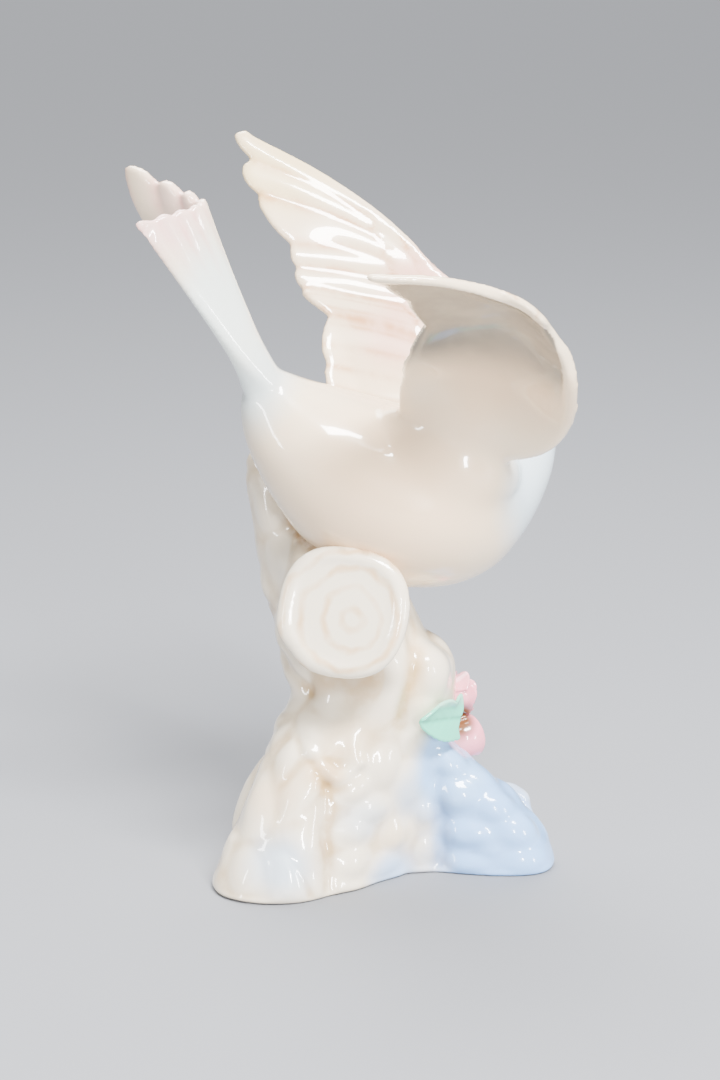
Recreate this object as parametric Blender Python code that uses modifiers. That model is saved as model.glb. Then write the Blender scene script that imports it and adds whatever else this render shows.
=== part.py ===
"""A glazed porcelain dove settling on a sawn tree stump, with two roses and a leaf stuck to the bark.

Metres, +Z up. The bird's breast faces +X, its near wing reaches to -Y, and the origin lies in the
flat underside of the stump.
"""
import math

import bmesh
import bpy
from mathutils import Vector

# Driving sizes, in metres.
FIGURE_HEIGHT = 0.204
WING_RIM = 0.0044
WING_EDGE = 0.0026
TAIL_EDGE = 0.0030
FEATHER_GROOVE = 0.0008
SEAT_GAP = 0.0005
FLOWER_GAP = 0.0005
LEAF_WALL = 0.0013
SAW_LIP = 0.0007

# The pose and proportions are given in millimetres of a figure 204 mm tall.
DRAWN_HEIGHT = 204.0
MM = FIGURE_HEIGHT / DRAWN_HEIGHT

BODY_SIDES = 24
BODY_STEPS = 3
WING_CHORD_STEPS = 8
WING_ROW_STEPS = 3
HEAD_SIDES = 14
EYE_SIDES = 8
SHOULDER_ROUNDNESS = 4
BEAK_ROUNDNESS = 2
STUMP_SIDES = 50
STUB_SIDES = 28
SPUR_ROUNDNESS = 6
ROOTLET_ROUNDNESS = 4

# Each body station: centre, lean of the section back from upright (degrees), half depth, half breadth.
BODY_STATIONS = (
    ((-34.5, -6.0, 140.5), 52, 6.5, 5.5),
    ((-29.5, -5.0, 133.5), 52, 11.5, 11.0),
    ((-23.0, -4.0, 127.0), 49, 16.0, 16.0),
    ((-16.0, -2.0, 120.0), 41, 20.0, 20.0),
    ((-8.5, 0.0, 113.5), 31, 23.0, 23.0),
    ((2.5, 2.0, 108.0), 19, 24.8, 25.0),
    ((15.5, 5.0, 107.0), 7, 25.5, 25.0),
    ((25.0, 7.0, 108.5), -6, 23.0, 22.0),
    ((31.5, 9.0, 114.0), -20, 19.5, 18.0),
    ((37.0, 10.0, 122.5), -40, 14.2, 13.4),
    ((40.0, 11.5, 130.0), -58, 9.4, 9.4),
)
BODY_YAW = math.radians(13)
BODY_ROLL = math.radians(8)

# The tail is a tent of feathers: near edge, ridge and far edge from its root to its tips.
TAIL_ROOT = ((-33.5, -12.0, 138.5), (-33.5, -6.0, 141.0), (-35.5, 0.5, 140.5))
TAIL_TIPS = ((-65.6, -26.3, 186.4), (-48.8, -12.0, 190.6), (-69.8, 6.4, 198.8))
TAIL_ROOT_DEPTH = 9.5
TAIL_FEATHERS = 8
TAIL_SCALLOP = 1.6
TAIL_FLARE = 3.0
TAIL_LENGTH_STEPS = 8
TAIL_ARCH = 0.35
# The far edge swings out towards its tips, by this much at most.
TAIL_FAR_SWING = (-5.2, 0.0, -2.8)

# Each wing is a fan of feather lines from the arm to the trailing edge, root first, and the last
# line is the leading edge. Between two lines lies one feather, whose tip stands out this far.
FAR_WING = (
    (((26.0, 16.0, 120.0), (12.5, 15.0, 122.0), (-1.0, 13.0, 125.0), (-12.0, 9.0, 130.0)), 1.5),
    (((27.5, 23.0, 132.0), (13.0, 22.0, 135.5), (-2.5, 19.0, 139.5), (-15.0, 15.0, 142.5)), 2.0),
    (((27.0, 28.0, 142.5), (13.0, 28.0, 146.5), (-1.0, 26.0, 151.0), (-14.5, 23.0, 154.0)), 2.6),
    (((25.0, 32.0, 151.0), (9.0, 33.0, 155.0), (-7.0, 31.0, 158.0), (-21.5, 28.0, 161.0)), 1.4),
    (((22.5, 34.0, 156.5), (6.0, 36.0, 161.0), (-9.5, 34.0, 164.5), (-23.5, 31.0, 166.5)), 1.4),
    (((20.5, 36.0, 159.5), (4.5, 37.5, 166.5), (-11.0, 37.0, 171.0), (-25.5, 34.0, 173.0)), 2.4),
    (((17.5, 37.0, 163.0), (1.0, 40.0, 172.5), (-16.5, 41.0, 180.5), (-35.0, 42.0, 185.0)), 3.0),
    (((16.0, 37.5, 164.5), (0.0, 41.5, 176.0), (-18.5, 44.0, 187.0), (-38.5, 47.0, 195.5)), 2.4),
    (((15.0, 38.0, 166.0), (-1.0, 43.0, 179.5), (-19.5, 47.0, 191.0), (-39.5, 50.0, 202.0)), 0.0),
)
NEAR_WING = (
    (((27.5, -9.0, 121.0), (20.0, -13.0, 114.0), (12.0, -14.0, 115.5), (5.0, -9.0, 126.0)), 0.0),
    (((41.0, -22.0, 125.5), (29.0, -19.0, 128.5), (16.5, -19.0, 131.0), (4.5, -14.5, 138.5)), 0.0),
    (((47.0, -31.0, 135.0), (34.0, -25.5, 139.5), (20.0, -23.5, 142.5), (5.5, -20.5, 145.5)), 0.6),
    (((47.0, -41.0, 146.0), (35.0, -35.0, 152.5), (20.5, -31.5, 154.0), (7.0, -28.5, 152.5)), 0.8),
    (((46.0, -45.0, 153.0), (34.5, -42.5, 162.0), (21.5, -40.0, 163.0), (10.5, -39.0, 162.0)), 1.5),
    (((44.5, -48.0, 157.0), (33.5, -51.0, 168.0), (20.0, -51.0, 169.5), (6.0, -51.0, 170.0)), 1.5),
    (((43.5, -49.5, 159.0), (33.0, -56.0, 169.5), (17.5, -60.0, 174.5), (0.0, -62.0, 175.5)), 1.0),
    (((43.0, -50.0, 159.5), (32.0, -57.0, 170.0), (15.0, -62.5, 176.0), (-4.5, -67.0, 178.0)), 0.0),
)

# Each station of the muscle that fills the near wing's root: centre and radius.
SHOULDER_STATIONS = (
    ((3.0, -8.0, 129.0), 5.0),
    ((12.0, -10.0, 123.0), 8.0),
    ((22.0, -10.5, 120.5), 8.4),
    ((30.0, -8.5, 121.5), 6.0),
)

HEAD_CENTRE = (40.0, 12.5, 132.5)
HEAD_RADII = (11.2, 12.0, 11.0)
BEAK_AIM = (0.28, 0.92, -0.26)
# Along the beak: distance from its root inside the head, drop of the hook and radius.
BEAK_STATIONS = ((0.0, 0.0, 3.4), (3.0, 0.0, 2.6), (6.0, 0.2, 1.9), (9.0, 0.8, 1.3), (11.4, 1.8, 0.5))
BEAK_SINK = 3.0
EYE_RADIUS = 1.6
# From the head's middle: forward along the beak, out to the side and up.
EYE_PLACE = (5.4, 8.9, 2.6)

# The trunk, from the foot up: height, centre, half widths along X and Y.
TRUNK_STATIONS = (
    (0.0, (-2.0, 6.0), 22.0, 17.5),
    (12.0, (-2.0, 6.0), 21.5, 17.0),
    (25.0, (-2.5, 5.5), 22.0, 17.0),
    (37.0, (-3.0, 5.0), 23.0, 17.5),
    (50.0, (-3.0, 5.0), 23.5, 18.0),
    (61.0, (-4.0, 5.0), 24.0, 18.0),
    (70.0, (-9.0, 4.0), 19.8, 17.5),
    (80.0, (-11.5, 3.0), 18.0, 16.5),
    (90.0, (-13.5, 3.0), 15.5, 15.0),
    (97.0, (-14.5, 3.0), 12.0, 12.0),
)
TRUNK_HEIGHTS = (7.0, 13.0, 19.0, 25.0, 31.0, 37.0, 43.0, 49.0, 56.0, 62.0, 67.0, 72.0, 80.0, 88.0, 97.0)
# Each root: bearing (degrees), reach beyond the trunk at the ground, height, fall-off up the trunk,
# half angle (degrees) and how square its shoulders are.
ROOTS = (
    (218, 34.5, 52.0, 1.4, 37, 2.0),
    (352, 30.0, 35.5, 1.8, 21, 3.0),
    (22, 24.5, 32.0, 1.8, 20, 2.0),
    (170, 21.5, 38.5, 2.4, 15, 2.0),
    (75, 14.0, 40.0, 1.6, 22, 2.0),
    (122, 15.0, 42.0, 1.6, 20, 2.0),
)
# Each furrow in the bark: bearing, depth, top and half angle.
FURROWS = (
    (249, 2.2, 44.0, 7),
    (303, 1.6, 52.0, 8),
    (192, 1.5, 36.0, 7),
    (100, 1.5, 50.0, 7),
    (46, 1.6, 40.0, 8),
)
FOOT_ROUNDING = 2.0

STUB_ROOT = (-8.0, 5.0, 74.0)
STUB_FACE = (-11.5, -24.0, 81.5)
STUB_RADIUS = 18.6
STUB_SQUARENESS = 0.03
# Along the stub: distance from the sawn face as a share of its length, and share of its radius.
STUB_BARK = ((-1.0, 0.86), (-0.6, 0.86), (-0.3, 0.89), (-0.12, 0.95))
# Over the sawn face: height in lips above it, and share of the radius.
STUB_FACE_RINGS = (
    (-2.0, 0.995),
    (0.0, 1.0),
    (1.0, 0.965),
    (1.0, 0.925),
    (0.0, 0.88),
    (-1.0, 0.82),
    (-0.4, 0.62),
    (-1.0, 0.44),
    (-0.4, 0.24),
)

# Each station of the broken spur behind the rump: centre and radius.
SPUR_STATIONS = (
    ((-18.5, 6.0, 60.0), 11.5),
    ((-20.5, 9.0, 71.0), 11.8),
    ((-23.5, 12.0, 83.0), 11.5),
    ((-27.0, 13.0, 94.0), 10.2),
    ((-30.0, 14.0, 104.0), 8.8),
    ((-33.0, 14.0, 111.5), 7.0),
    ((-35.0, 14.0, 116.5), 3.6),
)
# Each station of the rootlet that curls out behind the right-hand root: centre and radius.
ROOTLET_STATIONS = (
    ((28.0, 18.0, 16.0), 4.0),
    ((34.0, 22.0, 14.8), 3.0),
    ((38.5, 24.5, 13.4), 2.7),
    ((41.4, 24.5, 9.6), 2.6),
    ((41.6, 21.0, 6.2), 2.8),
    ((38.0, 15.0, 4.5), 3.5),
)

# Each rose: bearing round the trunk, height, radius, turn about its own axis (degrees), tilt up.
ROSES = {
    "rose_upper": (17, 46.9, 4.9, 20, 0.2),
    "rose_lower": (14, 33.2, 6.4, 60, -0.1),
}
ROSE_SIDES = 20
ROSE_PETALS = 4
# A rose's run from its back over the outer petals' lip, down, and over the inner petals to its heart:
# distance from the axis and height, as shares of the radius, and how far the petals scallop them.
ROSE_PROFILE = (
    (0.35, -0.30, 0.0),
    (0.66, -0.15, 0.0),
    (0.92, 0.25, 0.02),
    (1.00, 0.70, 0.10),
    (1.02, 0.95, 0.22),
    (0.86, 0.98, 0.22),
    (0.70, 0.62, 0.02),
    (0.60, 0.66, -0.04),
    (0.54, 1.10, -0.16),
    (0.40, 1.12, -0.16),
    (0.26, 0.72, 0.0),
    (0.14, 0.98, 0.0),
)
ROSE_OUTER_RINGS = 5
ROSE_DEPTH = 1.25

LEAF_BEARING = 325
LEAF_HEIGHT = 46.0
LEAF_LENGTH = 15.0
LEAF_BREADTH = 11.5
LEAF_ROWS = 8
LEAF_FOLD = 1.6
LEAF_LIFT = 2.0
LEAF_TILT = 0.1
LEAF_DROOP = 0.12
LEAF_TEETH = 0.1

COLOURS = {
    "dove": (0.86, 0.79, 0.73),
    "tree_stump": (0.83, 0.80, 0.74),
    "rose_upper": (0.87, 0.55, 0.57),
    "rose_lower": (0.87, 0.55, 0.57),
    "leaf": (0.42, 0.72, 0.60),
}
GLAZE_ROUGHNESS = 0.12


def clear_scene():
    for thing in list(bpy.data.objects):
        bpy.data.objects.remove(thing, do_unlink=True)


def collection(name, hidden=False):
    made = bpy.data.collections.new(name)
    made.hide_render = hidden
    bpy.context.scene.collection.children.link(made)
    return made


def glaze(name):
    """Fired glaze over the piece's own colour."""
    material = bpy.data.materials.new(name + "_glaze")
    material.use_nodes = True
    shader = material.node_tree.nodes["Principled BSDF"]
    shader.inputs["Base Color"].default_value = (*COLOURS[name], 1.0)
    shader.inputs["Roughness"].default_value = GLAZE_ROUGHNESS
    shader.inputs["Metallic"].default_value = 0.0
    shader.inputs["Coat Weight"].default_value = 1.0
    return material


def object_of(name, mesh, home):
    """The bmesh as a smooth-shaded object in its collection."""
    bmesh.ops.recalc_face_normals(mesh, faces=mesh.faces)
    data = bpy.data.meshes.new(name)
    mesh.to_mesh(data)
    mesh.free()
    data.shade_smooth()
    made = bpy.data.objects.new(name, data)
    home.objects.link(made)
    return made


def helper(name, mesh, home):
    made = object_of(name, mesh, home)
    made.hide_render = True
    made.display_type = "WIRE"
    return made


def combine(target, other, operation):
    cut = target.modifiers.new(other.name, "BOOLEAN")
    cut.operation = operation
    cut.object = other
    cut.solver = "EXACT"


def spline(values, t):
    """Catmull-Rom through equally spaced values, for t from 0 at the first to 1 at the last."""
    last = len(values) - 1
    place = min(max(t, 0.0), 1.0) * last
    i = min(int(place), last - 1)
    f = place - i
    a, b = values[i], values[i + 1]
    before = values[i - 1] if i > 0 else a * 2 - b
    after = values[i + 2] if i + 2 <= last else b * 2 - a
    return (
        b * f + a * (1 - f)
        + (a * 2 - before - b) * (f * (1 - f) ** 2 / 2)
        + (b * 2 - a - after) * (f * f * (1 - f) / 2)
    )


def loft(rings, strip_caps=True):
    """A closed skin over rings of equally many points. Each end is a strip across it, or a fan."""
    mesh = bmesh.new()
    rows = [[mesh.verts.new(point) for point in ring] for ring in rings]
    count = len(rows[0])
    for row, following in zip(rows, rows[1:]):
        for i in range(count):
            j = (i + 1) % count
            mesh.faces.new((row[i], row[j], following[j], following[i]))
    for row in (rows[0], rows[-1]):
        if strip_caps:
            mesh.faces.new((row[0], row[1], row[-1]))
            for i in range(1, count // 2 - 1):
                mesh.faces.new((row[i], row[i + 1], row[-i - 1], row[-i]))
            mesh.faces.new((row[count // 2 - 1], row[count // 2], row[count // 2 + 1]))
        else:
            hub = mesh.verts.new(sum((vertex.co for vertex in row), Vector()) / count)
            for i in range(count):
                mesh.faces.new((row[i], hub, row[(i + 1) % count]))
    return mesh


def slab(points, thickness, groove=None, groove_side=1, nose_steps=2):
    """A closed sheet with round edges about a grid of mid-surface points, grooved on one side."""
    rows, columns = len(points), len(points[0])

    def normal(i, j):
        along = points[min(i + 1, rows - 1)][j] - points[max(i - 1, 0)][j]
        across = points[i][min(j + 1, columns - 1)] - points[i][max(j - 1, 0)]
        return along.cross(across).normalized()

    mesh = bmesh.new()
    skins = []
    for side in (1, -1):
        skin = []
        for i in range(rows):
            row = []
            for j in range(columns):
                depth = thickness(i, j) / 2
                if groove and side == groove_side:
                    depth -= groove(i, j)
                row.append(mesh.verts.new(points[i][j] + normal(i, j) * (depth * side)))
            skin.append(row)
        skins.append(skin)
    for skin in skins:
        for i in range(rows - 1):
            for j in range(columns - 1):
                mesh.faces.new((skin[i][j], skin[i + 1][j], skin[i + 1][j + 1], skin[i][j + 1]))
    border = [(i, 0) for i in range(rows - 1)]
    border += [(rows - 1, j) for j in range(columns - 1)]
    border += [(i, columns - 1) for i in range(rows - 1, 0, -1)]
    border += [(0, j) for j in range(columns - 1, 0, -1)]

    def outward(i, j):
        inner = points[min(max(i, 1), rows - 2)][min(max(j, 1), columns - 2)]
        straight = points[i][j] - inner
        return (straight - normal(i, j) * straight.dot(normal(i, j))).normalized()

    bands = [[skins[0][i][j] for i, j in border]]
    for step in range(1, nose_steps):
        angle = math.pi * step / nose_steps
        bands.append([
            mesh.verts.new(
                points[i][j]
                + normal(i, j) * (thickness(i, j) / 2 * math.cos(angle))
                + outward(i, j) * (thickness(i, j) / 2 * math.sin(angle))
            )
            for i, j in border
        ])
    bands.append([skins[1][i][j] for i, j in border])
    for band, following in zip(bands, bands[1:]):
        for i in range(len(border)):
            j = (i + 1) % len(border)
            mesh.faces.new((band[i], band[j], following[j], following[i]))
    return mesh


def body_side():
    """The bird's own level direction, towards its far wing."""
    return Vector((
        -math.sin(BODY_YAW) * math.cos(BODY_ROLL),
        math.cos(BODY_YAW) * math.cos(BODY_ROLL),
        math.sin(BODY_ROLL),
    ))


def body_mesh(grow=0.0):
    """The bird's trunk from the tail's root to the neck, grown outwards by a named gap for its seat."""
    flat = [(*centre, lean, depth, breadth) for centre, lean, depth, breadth in BODY_STATIONS]
    rows = [[Vector(row[:3]), Vector(row[3:])] for row in flat]
    count = (len(rows) - 1) * BODY_STEPS
    side = body_side()
    rings = []
    for i in range(count + 1):
        centre = spline([row[0] for row in rows], i / count) * MM
        lean, depth, breadth = spline([row[1] for row in rows], i / count)
        lean = math.radians(lean)
        up = Vector((math.sin(lean), -math.sin(BODY_ROLL), math.cos(lean)))
        up = (up - side * up.dot(side)).normalized()
        rings.append([
            centre
            + up * (math.sin(turn) * (depth * MM + grow))
            + side * (math.cos(turn) * (breadth * MM + grow))
            for turn in (2 * math.pi * k / BODY_SIDES for k in range(BODY_SIDES))
        ])
    return loft(rings)


def tail_middle(u, across):
    """A point of the tail's mid-surface, from its root (0) to its tips (1) and from edge to edge."""
    crest = math.hypot(1, TAIL_ARCH) - TAIL_ARCH
    bend = (math.hypot(across, TAIL_ARCH) - TAIL_ARCH) / crest
    near, ridge, far = (Vector(a).lerp(Vector(b), u) for a, b in zip(TAIL_ROOT, TAIL_TIPS))
    far += Vector(TAIL_FAR_SWING) * (u ** 3 * (1 - u) / (0.75 ** 3 * 0.25))
    return ridge + (near - ridge) * (bend - across) / 2 + (far - ridge) * (bend + across) / 2


def tail_mesh():
    """A tent of feathers that grows out of a round root."""
    last = TAIL_FEATHERS * 2
    lie = (Vector(TAIL_TIPS[1]) - Vector(TAIL_ROOT[1])).normalized()
    rings = []
    for j in range(TAIL_LENGTH_STEPS + 1):
        u = j / TAIL_LENGTH_STEPS
        depth = TAIL_EDGE + (TAIL_ROOT_DEPTH * MM - TAIL_EDGE) * (1 - u) ** 1.6
        depth += TAIL_FLARE * MM * max(0.0, 1 - u / 0.3) ** 2
        outer, inner = [], []
        for i in range(last + 1):
            across = 2 * i / last - 1
            run = tail_middle(u, across + 0.05) - tail_middle(u, across - 0.05)
            out = lie.cross(run).normalized()
            notch = 1 - i % 2 if 0 < i < last else 0.5
            scallop = TAIL_SCALLOP * (1 + 0.6 * across) * notch * u ** 6
            middle = (tail_middle(u, across) - lie * scallop) * MM
            half = depth / 2 * max(0.0, 1 - across * across) ** 0.3
            furrow = FEATHER_GROOVE * notch * min(1.0, 2 * u) if 0 < i < last else 0.0
            outer.append(middle + out * (half - furrow))
            inner.append(middle - out * (half - furrow))
        rings.append(outer + inner[-2:0:-1])
    return loft(rings)


def wing_points(lines, steps):
    """The wing's mid-surface: rows across the feathers from the arm's root, columns along them."""
    curves = [[Vector(point) for point in line] for line, tip in lines]
    bulges = [tip for line, tip in lines]
    feathers = len(lines) - 1
    grid = []
    for row in range(feathers * steps + 1):
        t = row / (feathers * steps)
        line = [spline([curve[k] for curve in curves], t) for k in range(4)]
        f = (row % steps) / steps
        bulge = bulges[row // steps] * (1 - abs(2 * f - 1) ** 2.5)
        points = [spline(line, j / WING_CHORD_STEPS) for j in range(WING_CHORD_STEPS + 1)]
        reach = (points[-1] - points[-2]).normalized()
        for j, point in enumerate(points):
            share = j / WING_CHORD_STEPS
            points[j] = (point + reach * (bulge * share ** 4)) * MM
        grid.append(points)
    return grid


def wing_mesh(lines, back_side):
    """A wing as one sheet, thick along its rim, with furrows between the feathers on its back."""
    grid = wing_points(lines, WING_ROW_STEPS)
    last = len(grid) - 1

    def thickness(i, j):
        to_rim = min(j / WING_CHORD_STEPS, (last - i) / last)
        return WING_EDGE + (WING_RIM - WING_EDGE) * max(0.0, 1 - to_rim / 0.3) ** 2

    def furrow(i, j):
        return FEATHER_GROOVE if i % WING_ROW_STEPS == 0 and 0 < i < last and j > 2 else 0.0

    return slab(grid, thickness, furrow, back_side)


def ball(centre, radii, sides):
    mesh = bmesh.new()
    bmesh.ops.create_uvsphere(mesh, u_segments=sides, v_segments=sides * 2 // 3, radius=1.0)
    for vertex in mesh.verts:
        vertex.co = Vector(centre) * MM + Vector(
            [a * b * MM for a, b in zip(vertex.co, radii)]
        )
    return mesh


def tube(name, stations, roundness, home):
    """A round-sectioned helper along a path of centres and radii, bevelled from a curve."""
    curve = bpy.data.curves.new(name, "CURVE")
    curve.dimensions = "3D"
    curve.bevel_depth = MM
    curve.bevel_resolution = roundness
    curve.use_fill_caps = True
    path = curve.splines.new("POLY")
    path.points.add(len(stations) - 1)
    for point, (centre, radius) in zip(path.points, stations):
        point.co = (*(Vector(centre) * MM), 1.0)
        point.radius = radius
    bevelled = bpy.data.objects.new(name + "_path", curve)
    home.objects.link(bevelled)
    graph = bpy.context.evaluated_depsgraph_get()
    skin = bpy.data.meshes.new_from_object(bevelled.evaluated_get(graph))
    mesh = bmesh.new()
    mesh.from_mesh(skin)
    bmesh.ops.remove_doubles(mesh, verts=mesh.verts, dist=0.00001)
    bpy.data.objects.remove(bevelled)
    return helper(name, mesh, home)


def make_beak(home):
    """A short, faintly hooked bill."""
    aim = Vector(BEAK_AIM).normalized()
    root = Vector(HEAD_CENTRE) + aim * (HEAD_RADII[1] - BEAK_SINK)
    stations = [
        (root + aim * along - Vector((0, 0, drop)), radius) for along, drop, radius in BEAK_STATIONS
    ]
    return tube("beak", stations, BEAK_ROUNDNESS, home)


def make_dove(home, helpers):
    dove = object_of("dove", body_mesh(), home)
    combine(dove, helper("tail_fan", tail_mesh(), helpers), "UNION")
    combine(dove, helper("far_wing", wing_mesh(FAR_WING, 1), helpers), "UNION")
    combine(dove, helper("near_wing", wing_mesh(NEAR_WING, -1), helpers), "UNION")
    shoulder = tube("near_shoulder", smooth_path(SHOULDER_STATIONS), SHOULDER_ROUNDNESS, helpers)
    combine(dove, shoulder, "UNION")
    combine(dove, helper("head", ball(HEAD_CENTRE, HEAD_RADII, HEAD_SIDES), helpers), "UNION")
    combine(dove, make_beak(helpers), "UNION")
    aim = Vector(BEAK_AIM).normalized()
    level = aim.cross(Vector((0, 0, 1))).normalized()
    forward, aside, rise = EYE_PLACE
    for sign, name in ((1, "eye_right"), (-1, "eye_left")):
        place = Vector(HEAD_CENTRE) + aim * forward + level * (sign * aside) + Vector((0, 0, rise))
        combine(dove, helper(name, ball(place, (EYE_RADIUS,) * 3, EYE_SIDES), helpers), "UNION")
    dove.data.materials.append(glaze("dove"))


def angle_between(a, b):
    return abs((a - b + 180) % 360 - 180)


def trunk_at(height):
    """Centre and half widths of the trunk at a drawn height."""
    rows = [Vector((z, *centre, *half)) for z, centre, *half in TRUNK_STATIONS]
    low, high = 0.0, 1.0
    for _ in range(30):
        middle = (low + high) / 2
        if spline(rows, middle)[0] < height:
            low = middle
        else:
            high = middle
    return spline(rows, low)[1:]


def stump_point(bearing, height):
    """A point of the bark, in drawn millimetres, at a bearing in degrees round the trunk."""
    x, y, half_x, half_y = trunk_at(height)
    turn = math.radians(bearing)
    radius = 1 / math.hypot(math.cos(turn) / half_x, math.sin(turn) / half_y)
    reach = 0.0
    for root, extra, top, fall, half_angle, square in ROOTS:
        rise = max(0.0, 1 - (height / top) ** fall)
        aside = (angle_between(bearing, root) / half_angle) ** square
        reach += (extra * rise * math.exp(-aside)) ** 3
    radius += reach ** (1 / 3)
    for furrow, depth, top, half_angle in FURROWS:
        rise = max(0.0, 1 - height / top)
        radius -= depth * rise ** 0.5 * math.exp(-((angle_between(bearing, furrow) / half_angle) ** 2))
    if height < FOOT_ROUNDING:
        radius -= FOOT_ROUNDING * (1 - height / FOOT_ROUNDING) ** 2 * 0.6
    return Vector((x + radius * math.cos(turn), y + radius * math.sin(turn), height))


def stump_mesh():
    return loft([
        [stump_point(360 * k / STUMP_SIDES, height) * MM for k in range(STUMP_SIDES)]
        for height in (0.0, FOOT_ROUNDING / 2, FOOT_ROUNDING, *TRUNK_HEIGHTS)
    ], strip_caps=False)


def stub_mesh():
    """The sawn branch stub: bark sides, a rolled lip and a face a little below it."""
    face = Vector(STUB_FACE) * MM
    aim = (Vector(STUB_FACE) - Vector(STUB_ROOT)).normalized()
    right = aim.cross(Vector((0, 0, 1))).normalized()
    up = right.cross(aim)
    length = (Vector(STUB_FACE) - Vector(STUB_ROOT)).length * MM
    profile = [(length * out, share) for out, share in STUB_BARK]
    profile += [(SAW_LIP * out, share) for out, share in STUB_FACE_RINGS]
    rings = []
    for out, share in profile:
        ring = []
        for k in range(STUB_SIDES):
            turn = 2 * math.pi * k / STUB_SIDES
            square = 1 + STUB_SQUARENESS * math.cos(4 * (turn - math.radians(142)))
            reach = right * math.cos(turn) + up * math.sin(turn)
            ring.append(face + aim * out + reach * (STUB_RADIUS * MM * share * square))
        rings.append(ring)
    return loft(rings)


def bark_frame(bearing, height, tilt):
    """A place on the bark with the way out of it, the way up along it and the way round it."""
    place = stump_point(bearing, height)
    round_it = (stump_point(bearing + 4, height) - stump_point(bearing - 4, height)).normalized()
    up_it = (stump_point(bearing, height + 3) - stump_point(bearing, height - 3)).normalized()
    out = round_it.cross(up_it).normalized()
    out = (out + Vector((0, 0, tilt))).normalized()
    up = (up_it - out * up_it.dot(out)).normalized()
    return place * MM, out, up, up.cross(out)


def rose_mesh(name, grow=0.0):
    """A rose as one turned and scalloped skin, or the plain plug of its back grown by a named gap."""
    bearing, height, radius, turn, tilt = ROSES[name]
    place, out, up, aside = bark_frame(bearing, height, tilt)
    profile = ROSE_PROFILE[:ROSE_OUTER_RINGS] if grow else ROSE_PROFILE
    rings = []
    for share, rise, scallop in profile:
        ring = []
        for k in range(ROSE_SIDES):
            around = 2 * math.pi * k / ROSE_SIDES
            lobe = abs(math.cos((around - math.radians(turn)) * ROSE_PETALS / 2)) - 0.5
            if scallop < 0:
                lobe = -lobe
            wide = radius * (share + abs(scallop) * lobe * 0.6) * MM + grow
            high = radius * ROSE_DEPTH * (rise + abs(scallop) * lobe) * MM + (grow if share > 1 else -grow)
            ring.append(
                place + (up * math.cos(around) + aside * math.sin(around)) * wide + out * high
            )
        rings.append(ring)
    return loft(rings)


def make_rose(name, home):
    rose = object_of(name, rose_mesh(name), home)
    rose.data.materials.append(glaze(name))


def leaf_mesh(grow=0.0):
    """The middle of a toothed leaf, pointed at its tip, broad at its stalk and folded along its midrib."""
    place, out, up, aside = bark_frame(LEAF_BEARING, LEAF_HEIGHT, LEAF_TILT)
    lie = (aside - up * LEAF_DROOP).normalized()
    cross = out.cross(lie)
    heart = place + out * (LEAF_WALL / 2 + FLOWER_GAP / 2)
    mesh = bmesh.new()
    rows = []
    for i in range(LEAF_ROWS + 1):
        along = i / LEAF_ROWS
        half = LEAF_BREADTH / 2 * math.sin(math.pi / 2 * min(1.0, 0.08 + along / 0.8))
        half *= 1 + LEAF_TEETH * (i % 2)
        row = []
        for over in (-1.0, -0.5, 0.0, 0.5, 1.0):
            bend = LEAF_FOLD * abs(over) * math.sin(math.pi * along) + LEAF_LIFT * (1 - along) ** 2
            run = lie * ((along - 0.5) * (LEAF_LENGTH * MM + 2 * grow))
            row.append(mesh.verts.new(heart + run + cross * (over * (half * MM + grow)) + out * bend * MM))
        rows.append(row)
    for row, following in zip(rows, rows[1:]):
        for j in range(len(row) - 1):
            mesh.faces.new((row[j], following[j], following[j + 1], row[j + 1]))
    return mesh


def thicken(sheet, wall):
    solid = sheet.modifiers.new("wall", "SOLIDIFY")
    solid.thickness = wall
    solid.offset = 0.0


def make_stump(home, helpers):
    stump = object_of("tree_stump", stump_mesh(), home)
    combine(stump, helper("branch_stub", stub_mesh(), helpers), "UNION")
    spur = tube("spur", smooth_path(SPUR_STATIONS), SPUR_ROUNDNESS, helpers)
    combine(stump, spur, "UNION")
    rootlet = tube("rootlet", smooth_path(ROOTLET_STATIONS), ROOTLET_ROUNDNESS, helpers)
    combine(stump, rootlet, "UNION")
    combine(stump, helper("seat", body_mesh(SEAT_GAP), helpers), "DIFFERENCE")
    for name in ROSES:
        socket = helper(name + "_socket", rose_mesh(name, FLOWER_GAP), helpers)
        combine(stump, socket, "DIFFERENCE")
    bed = helper("leaf_bed", leaf_mesh(FLOWER_GAP), helpers)
    thicken(bed, LEAF_WALL + 2 * FLOWER_GAP)
    combine(stump, bed, "DIFFERENCE")
    stump.data.materials.append(glaze("tree_stump"))


def smooth_path(stations):
    """The path's centres and radii, splined, with one more between each two."""
    rows = [Vector((*centre, radius)) for centre, radius in stations]
    count = (len(rows) - 1) * 2
    smooth = [spline(rows, i / count) for i in range(count + 1)]
    return [(row[:3], row[3]) for row in smooth]


def make_leaf(home):
    leaf = object_of("leaf", leaf_mesh(), home)
    thicken(leaf, LEAF_WALL)
    leaf.data.materials.append(glaze("leaf"))


clear_scene()
figurine = collection("porcelain_dove_figurine")
shapes = collection("added_and_cut_shapes", hidden=True)
make_dove(figurine, shapes)
make_stump(figurine, shapes)
for rose_name in ROSES:
    make_rose(rose_name, figurine)
make_leaf(figurine)
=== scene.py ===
"""A glazed porcelain dove settling on a sawn tree stump, with two pink roses and a mint leaf stuck to
the bark. Sizes are in millimetres until a mesh is made. The bird's breast faces +X, +Z is up.
"""
import math

import bpy
import numpy as np
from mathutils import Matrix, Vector, noise
from mathutils.bvhtree import BVHTree


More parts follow.
